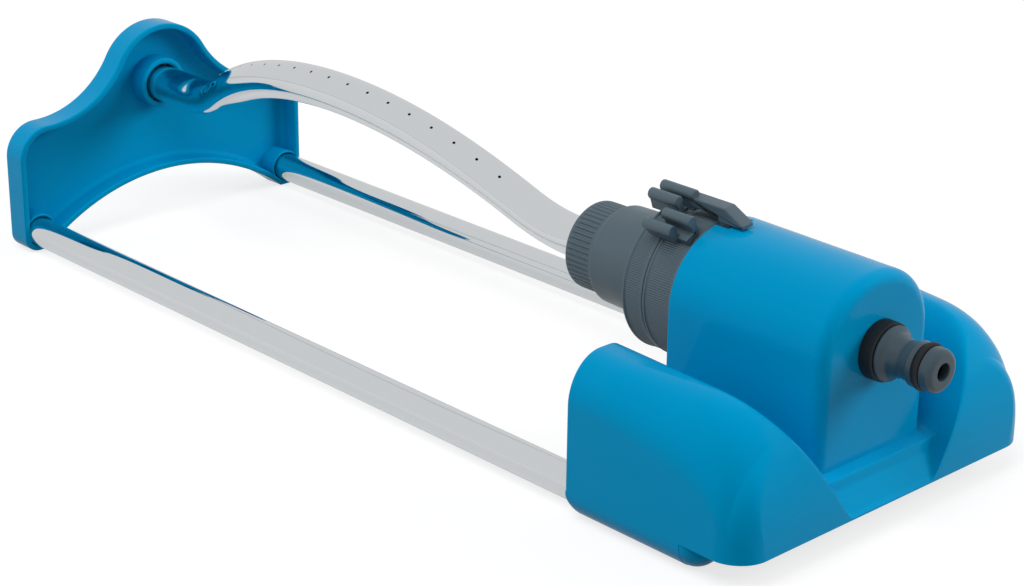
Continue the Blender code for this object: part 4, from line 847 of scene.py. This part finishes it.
def make_collar():
    """Collar nut: straight ribs between a plain front rim and a plain rear rim.

    A groove's depth is a clipped cosine of the angle, faded out towards both rims.
    """
    sizes = measures()
    low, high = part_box("collar_nut")
    start = low.x / MM
    end = high.x / MM + 3.1
    rim = 15.3
    profile = rounded([
        (start, 7.55, 0.4), (start, rim - 0.1, 1.5), (start + 2.2, rim, 0.3),
        (end - 1.2, rim, 0.3), (end, rim - 0.1, 0.5), (end, 12.9, 0.2), (start + 3.0, 12.9, 0.2),
        (start + 3.0, 7.55, 0.2)], 6)
    profile = densified(profile, 12, 15)
    outer = profile[:, 1:] > 14.5

    def relief(x, angle):
        groove = np.clip(0.5 - 0.9 * np.cos(sizes.ribs * angle), 0, 1)
        ends = np.clip((x - start - 1.5) / 0.5, 0, 1) * np.clip((end - 1.0 - x) / 0.4, 0, 1)
        return -sizes.rib_depth / MM * groove * ends * outer

    made = lathe(profile, sizes.ribs * 12, relief=relief)
    piece(made, "collar_nut_body", grey_acetal(), "spray_bar", "grey_plastic", "collar_nut")


def tab_outline(angle, foot, tip=32.5, wall=2.5, bulb=1.9):
    """A tab's section: a wall from the foot's radius out to a round bulb, turned to its angle."""
    neck = math.degrees(math.acos(wall / 2 / bulb))
    local = np.concatenate([[(-wall / 2, foot), (wall / 2, foot)],
                            arc((0.0, tip - bulb), bulb, -neck, 180 + neck, 20)])
    flat = np.concatenate([0 * local[:, :1], local], 1)
    return tilted(flat, angle)[:, 1:]


def make_rings():
    """Limit rings: knurled hoops that turn on the head, each with a web and a pair of tabs.

    A knurl is a cosine of the angle, cut into the hoop and faded out at its ends.
    """
    sizes = measures()
    groove = X_REAR - 13.1
    plans = (("inner_limit_ring", "inner_ring", groove + 0.2, X_REAR - 0.5, 29.5, 12.0, 4.0),
             ("outer_limit_ring", "outer_ring", X_REAR - 21.9, groove - 0.2, -80.0, 8.5, 0.0))
    for name, body, start, end, angle, length, shift in plans:
        profile = rounded([(start, 22.3, 0.2), (end, 22.3, 0.2), (end, 24.6, 0.4),
                           (end - 0.9, 24.7, 0.1), (start + 1.2, 24.7, 0.1),
                           (start + 0.9, 25.0, 0.2), (start, 25.0, 0.4)], 4)
        profile = densified(profile, 10, 24)
        outer = profile[:, 1:] > 24.0

        def relief(x, turn):
            wave = np.cos(sizes.knurls * turn)
            ends = np.clip((x - start - 1.2) / 0.3, 0, 1) * np.clip((end - 0.8 - x) / 0.3, 0, 1)
            return sizes.knurl_depth / MM * (wave - 1) / 2 * ends * outer

        parts = [lathe(profile, sizes.knurls * 6, relief=relief),
                 drawn(sector(angle, angle + TAB_STEP, 24.2, 27.2), start + 1.0, end - 1.0, 0.3)]
        for step in (0, 1):
            stop = end - 1.0 - shift * step
            parts.append(drawn(tab_outline(angle + TAB_STEP * step, 26.0),
                               stop - length, stop, 0.3))
        piece(merge(*parts), name + "_body", grey_acetal(), body, "grey_plastic", name)


def make_lever():
    """Trip lever: a yoke and stem inside the notch, an arm with a nose, and a U of two tabs."""
    face = X_REAR - 21.9
    yoke = X_REAR + 2.5
    ring = rounded([(yoke, 10.8, 0.2), (yoke, 14.0, 0.3), (yoke + 2.4, 14.0, 0.3),
                    (yoke + 2.4, 10.8, 0.2)], 3)
    stem = np.array([(-1.85, 13.0), (1.85, 13.0), (1.85, 29.3), (-1.85, 29.3)])
    side = rounded([(X_REAR + 11.1, 25.6, 0.2), (X_REAR + 11.1, 26.8, 0.3),
                    (X_REAR + 3.6, 31.0, 1.5), (face + 10.3, 31.0, 0.3),
                    (face + 10.3, 27.6, 0.3), (X_REAR + 0.4, 27.6, 0.5),
                    (X_REAR + 0.4, 25.6, 0.2)], 5)

    def swing(points):
        return tilted(points, LEVER_TILT)

    def lay(points):
        return swing(points[..., [1, 0, 2]])

    parts = [lathe(ring, 96),
             drawn(stem, yoke, yoke + 2.4, 0.25, place=swing),
             drawn(side, -2.5, 2.5, 0.5, place=lay),
             drawn(sector(LEVER_TAB, LEVER_TAB + TAB_STEP, 25.7, 27.2), face - 1.0,
                   face + 9.3, 0.3)]
    for step, length in ((0, 14.3), (1, 12.3)):
        parts.append(drawn(tab_outline(LEVER_TAB + TAB_STEP * step, 26.4, 33.4),
                           face - 2.0, face - 2.0 + length, 0.4))
    piece(merge(*parts), "trip_lever_body", grey_acetal(), "lever", "grey_plastic", "trip_lever")


# Spray tube

def bend_path(start, end):
    """Centre line (x, z) of the spray bar over its pivot axis, and its outward normals.

    A wide arc in the middle and a tighter arc at each end meet tangent to each other. The middle
    of the bend and the wide arc's radius are given too.
    """
    turn = 2 * math.atan(BEND_HIGH / BEND_HALF)
    total = BEND_HALF / math.sin(turn)
    crown = CROWN_SHARE * total
    foot = total - crown
    middle = X_REAR - BEND_GAP - BEND_HALF
    angle = turn * np.linspace(1, 0, 61)[:-1]
    bend = turn * np.linspace(0, 1, 25)[:-1]
    left = np.stack([BEND_HALF - foot * np.sin(bend), foot * (1 - np.cos(bend)), bend])
    wide = np.stack([crown * np.sin(angle), BEND_HIGH - crown * (1 - np.cos(angle)), angle])
    half = np.concatenate([left, wide], 1)
    x = np.concatenate([middle - half[0], [middle], middle + half[0, ::-1]])
    z = np.concatenate([half[1], [BEND_HIGH], half[1, ::-1]])
    lean = np.concatenate([-half[2], [0.0], half[2, ::-1]])
    before = np.linspace(start, x[0], 6)[:-1]
    after = np.linspace(x[-1], end, 25)[1:]
    straight = (len(before), len(after))
    path = np.stack([np.concatenate([before, x, after]), np.pad(z, straight)], -1)
    return path, np.pad(lean, straight), middle, crown


def make_spray_tube():
    """Spray tube: a round section along the bend, with a row of countersunk holes on its top.

    The section is flattened under the first bend and over the last one, as a bent tube is.
    """
    start, end = (corner.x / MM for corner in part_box("spray_tube"))
    path, lean, middle, crown = bend_path(start, end)
    sides = 112
    around = np.linspace(0, 2 * np.pi, sides, endpoint=False)[None]
    under = 1 - 0.5 * np.exp(-((path[:, :1] - (middle - 88.0)) / 14.0) ** 2)
    over = 1 - 0.3 * np.exp(-((path[:, :1] - (middle + 84.0)) / 26.0) ** 2)
    skins = []
    for radius in (TUBE_R, TUBE_R - TUBE_WALL):
        lift = radius * np.cos(around)
        lift = np.where(lift < 0, lift * under, lift * over)
        x = path[:, :1] + lift * np.sin(lean)[:, None]
        z = path[:, 1:] + lift * np.cos(lean)[:, None]
        y = radius * np.sin(around) + 0 * x
        skins.append(np.stack([x, y, z], -1))
    grid = np.concatenate([skins[0], skins[1][::-1]])
    faces = grid_faces(len(grid), sides, True, True).tolist()
    tube = solid(tilted(grid, TUBE_TILT), faces)
    profile = np.array([(3.0, 0.0), (3.0, HOLE_R), (TUBE_R - 0.16, HOLE_R), (TUBE_R + 0.3, 1.0),
                        (TUBE_R + 0.3, 0.0)])
    upright = Matrix.Rotation(math.radians(-90), 4, "Y")
    to_centre = Matrix.Translation((middle * MM, 0, (BEND_HIGH - crown) * MM))
    to_crown = Matrix.Translation((0, 0, crown * MM))
    whole = Matrix.Translation((0, 0, AXIS_Z * MM)) @ Matrix.Rotation(
        math.radians(TUBE_TILT), 4, "X")
    drills = []
    for index in range(HOLES):
        turn = Matrix.Rotation(HOLE_PITCH * (index - HOLES // 2) / crown, 4, "Y")
        drill = lathe(profile, 24, (0.0, 0.0))
        drill.data.transform(whole @ (to_centre @ turn @ to_crown) @ upright)
        drills.append(drill)
    combine(tube, merge(*drills), "DIFFERENCE")
    piece(tube, "spray_tube_bend", polished_aluminium(), "spray_bar", "polished_aluminium",
          "spray_tube", angle=30)


def finish_frame_nodes():
    """Finishes of the CAD pieces that are shown as they are, inside and under the housing."""
    plans = {
        natural_acetal: ("motor_case", "motor_cover", "bulkhead", "jet_plate", "pivot_bush",
                         "inlet_filter", "output_shaft", "output_gear", "lay_gear", "centre_gear",
                         "turbine_wheel", "diverter_flap"),
        black_rubber: ("case_seal", "shaft_seal", "tube_seal"),
        zinc_steel: ("lay_pin", "centre_pin", "tray_screw_1", "tray_screw_2", "tray_screw_3",
                     "tray_screw_4"),
        grey_acetal: ("tube_end_plug",),
    }
    for finish, names in plans.items():
        for name in names:
            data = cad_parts[name].data
            data.materials.clear()
            data.materials.append(finish())


# Stage

def seen_share(tree):
    """How much of the white background a ray sees: all for the camera, a share for the rest.

    Glossy and transmission rays see that share of it, and all other rays none.
    """
    path = add_node(tree, "ShaderNodeLightPath")
    either = add_node(tree, "ShaderNodeMath", None,
                      {0: path.outputs["Is Glossy Ray"], 1: path.outputs["Is Transmission Ray"]},
                      operation="MAXIMUM")
    part = add_node(tree, "ShaderNodeMath", {1: REFLECTED}, {0: either.outputs["Value"]},
                    operation="MULTIPLY")
    return add_node(tree, "ShaderNodeMath", None,
                    {0: path.outputs["Is Camera Ray"], 1: part.outputs["Value"]},
                    operation="MAXIMUM").outputs["Value"]


def make_stage():
    """White studio: a pale floor, an even white surround, and soft lamps above and on both sides.

    The camera sees the floor and the surround close to white, and the light on the object stays
    at a plain level. The floor keeps a faint shadow.
    """
    points = [(-4.0, -4.0, 0), (4.0, -4.0, 0), (4.0, 4.0, 0), (-4.0, 4.0, 0)]
    data = bpy.data.meshes.new("floor")
    data.from_pydata(points, [], [(0, 1, 2, 3)])
    floor = in_scene("floor", data)
    floor.location.z = -0.0002
    finish, tree, shader, place = new_finish("matt_white_floor")
    grain = add_node(tree, "ShaderNodeTexNoise", {"Scale": 0.4, "Detail": 3.0}, {"Vector": place})
    dull = add_node(tree, "ShaderNodeMapRange", {"To Min": 0.9, "To Max": 1.0},
                    {"Value": grain.outputs["Fac"]})
    tree.links.new(dull.outputs["Result"], shader.inputs["Roughness"])
    set_inputs(shader, {"Base Color": (0.33, 0.33, 0.33, 1.0), "Specular IOR Level": 0.0,
                        "Emission Color": (1.0, 1.0, 1.0, 1.0)})
    glow = add_node(tree, "ShaderNodeMapRange", {"To Min": 0.0, "To Max": 0.74},
                    {"Value": seen_share(tree)})
    tree.links.new(glow.outputs["Result"], shader.inputs["Emission Strength"])
    data.materials.append(finish)
    world = bpy.data.worlds.new("studio")
    bpy.context.scene.world = world
    world.use_nodes = True
    tree = world.node_tree
    back = tree.nodes["Background"]
    power = add_node(tree, "ShaderNodeMapRange", {"To Min": 0.3, "To Max": 1.0},
                     {"Value": seen_share(tree)})
    tree.links.new(power.outputs["Result"], back.inputs["Strength"])
    set_inputs(back, {"Color": (1.0, 1.0, 1.0, 1.0)})
    lamps = (("top_lamp", (0.2, -0.7, 1.4), 1.0, 12.0), ("right_lamp", (1.0, 1.1, 0.7), 0.8, 13.0),
             ("left_lamp", (-1.15, -0.95, 0.65), 0.8, 6.0))
    for name, place, width, watts in lamps:
        lamp = bpy.data.lights.new(name, "AREA")
        lamp.shape = "SQUARE"
        lamp.size = width
        lamp.energy = watts
        made = in_scene(name, lamp)
        made.location = place
        made.rotation_euler = made.location.to_track_quat("Z", "Y").to_euler()
        made.visible_glossy = False


def make_camera():
    """Camera found from the photo's straight edges and circles."""
    azimuth, elevation, roll = (math.radians(value) for value in CAMERA_TURN)
    sa, ca = math.sin(azimuth), math.cos(azimuth)
    se, ce = math.sin(elevation), math.cos(elevation)
    right = Vector((ca, sa, 0))
    up = Vector((-sa * se, ca * se, ce))
    back = Vector((ce * sa, -ce * ca, se))
    across = right * math.cos(roll) - up * math.sin(roll)
    above = right * math.sin(roll) + up * math.cos(roll)
    data = bpy.data.cameras.new("camera")
    data.sensor_width = 36.0
    data.lens = CAMERA_LENS
    data.clip_start = 0.05
    made = in_scene("camera", data)
    turn = Matrix((across, above, back)).transposed().to_4x4()
    made.matrix_world = Matrix.Translation(CAMERA_PLACE) @ turn
    bpy.context.scene.camera = made


# Add-on

class SPRINKLER_OT_bracket(bpy.types.Operator):
    """Build the end bracket with its three bosses"""
    bl_idname = "sprinkler.bracket"
    bl_label = "End Bracket"

    def execute(self, context):
        make_bracket()
        return {"FINISHED"}


class SPRINKLER_OT_rails(bpy.types.Operator):
    """Build the two aluminium rails"""
    bl_idname = "sprinkler.rails"
    bl_label = "Rails"

    def execute(self, context):
        make_rails()
        return {"FINISHED"}


class SPRINKLER_OT_housing(bpy.types.Operator):
    """Build the motor housing and its base tray"""
    bl_idname = "sprinkler.housing"
    bl_label = "Motor Housing"

    def execute(self, context):
        make_housing()
        make_tray()
        return {"FINISHED"}


class SPRINKLER_OT_inlet(bpy.types.Operator):
    """Build the hose connector and its seals"""
    bl_idname = "sprinkler.inlet"
    bl_label = "Inlet"

    def execute(self, context):
        make_inlet()
        return {"FINISHED"}


class SPRINKLER_OT_head(bpy.types.Operator):
    """Build the spray head and its collar nut"""
    bl_idname = "sprinkler.head"
    bl_label = "Spray Head"

    def execute(self, context):
        make_head()
        make_collar()
        return {"FINISHED"}


class SPRINKLER_OT_rings(bpy.types.Operator):
    """Build the two limit rings with their tabs"""
    bl_idname = "sprinkler.rings"
    bl_label = "Limit Rings"

    def execute(self, context):
        make_rings()
        return {"FINISHED"}


class SPRINKLER_OT_lever(bpy.types.Operator):
    """Build the trip lever"""
    bl_idname = "sprinkler.lever"
    bl_label = "Trip Lever"

    def execute(self, context):
        make_lever()
        return {"FINISHED"}


class SPRINKLER_OT_tube(bpy.types.Operator):
    """Build the bent spray tube with its holes"""
    bl_idname = "sprinkler.tube"
    bl_label = "Spray Tube"

    def execute(self, context):
        make_spray_tube()
        return {"FINISHED"}


class SPRINKLER_OT_inside(bpy.types.Operator):
    """Give the frame's own pieces their finishes"""
    bl_idname = "sprinkler.inside"
    bl_label = "Inner Pieces"

    def execute(self, context):
        finish_frame_nodes()
        return {"FINISHED"}


class SPRINKLER_OT_stage(bpy.types.Operator):
    """Build the floor, the light and the camera"""
    bl_idname = "sprinkler.stage"
    bl_label = "Stage"

    def execute(self, context):
        make_stage()
        make_camera()
        return {"FINISHED"}


class SPRINKLER_PT_panel(bpy.types.Panel):
    """Sidebar panel with the sizes, the colours and one button for each step"""
    bl_label = "Lawn Sprinkler"
    bl_space_type = "VIEW_3D"
    bl_region_type = "UI"
    bl_category = "Sprinkler"

    def draw(self, context):
        layout = self.layout
        for group in (context.scene.sprinkler_colours, context.scene.sprinkler_sizes):
            for name in group.__annotations__:
                layout.prop(group, name)
        for step in STEPS:
            layout.operator(step.bl_idname)


STEPS = (SPRINKLER_OT_bracket, SPRINKLER_OT_rails, SPRINKLER_OT_housing, SPRINKLER_OT_inlet,
         SPRINKLER_OT_head, SPRINKLER_OT_rings, SPRINKLER_OT_lever, SPRINKLER_OT_tube,
         SPRINKLER_OT_inside, SPRINKLER_OT_stage)
CLASSES = (SprinklerColours, SprinklerSizes, *STEPS, SPRINKLER_PT_panel)


def register():
    for item in CLASSES:
        bpy.utils.register_class(item)
    bpy.types.Scene.sprinkler_colours = bpy.props.PointerProperty(type=SprinklerColours)
    bpy.types.Scene.sprinkler_sizes = bpy.props.PointerProperty(type=SprinklerSizes)


def unregister():
    del bpy.types.Scene.sprinkler_colours
    del bpy.types.Scene.sprinkler_sizes
    for item in reversed(CLASSES):
        bpy.utils.unregister_class(item)


def main():
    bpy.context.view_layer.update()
    register()
    bpy.context.scene.view_settings.view_transform = "Standard"
    bpy.ops.sprinkler.bracket()
    bpy.ops.sprinkler.rails()
    bpy.ops.sprinkler.housing()
    bpy.ops.sprinkler.inlet()
    bpy.ops.sprinkler.head()
    bpy.ops.sprinkler.rings()
    bpy.ops.sprinkler.lever()
    bpy.ops.sprinkler.tube()
    bpy.ops.sprinkler.inside()
    bpy.ops.sprinkler.stage()


if __name__ == "__main__":
    main()
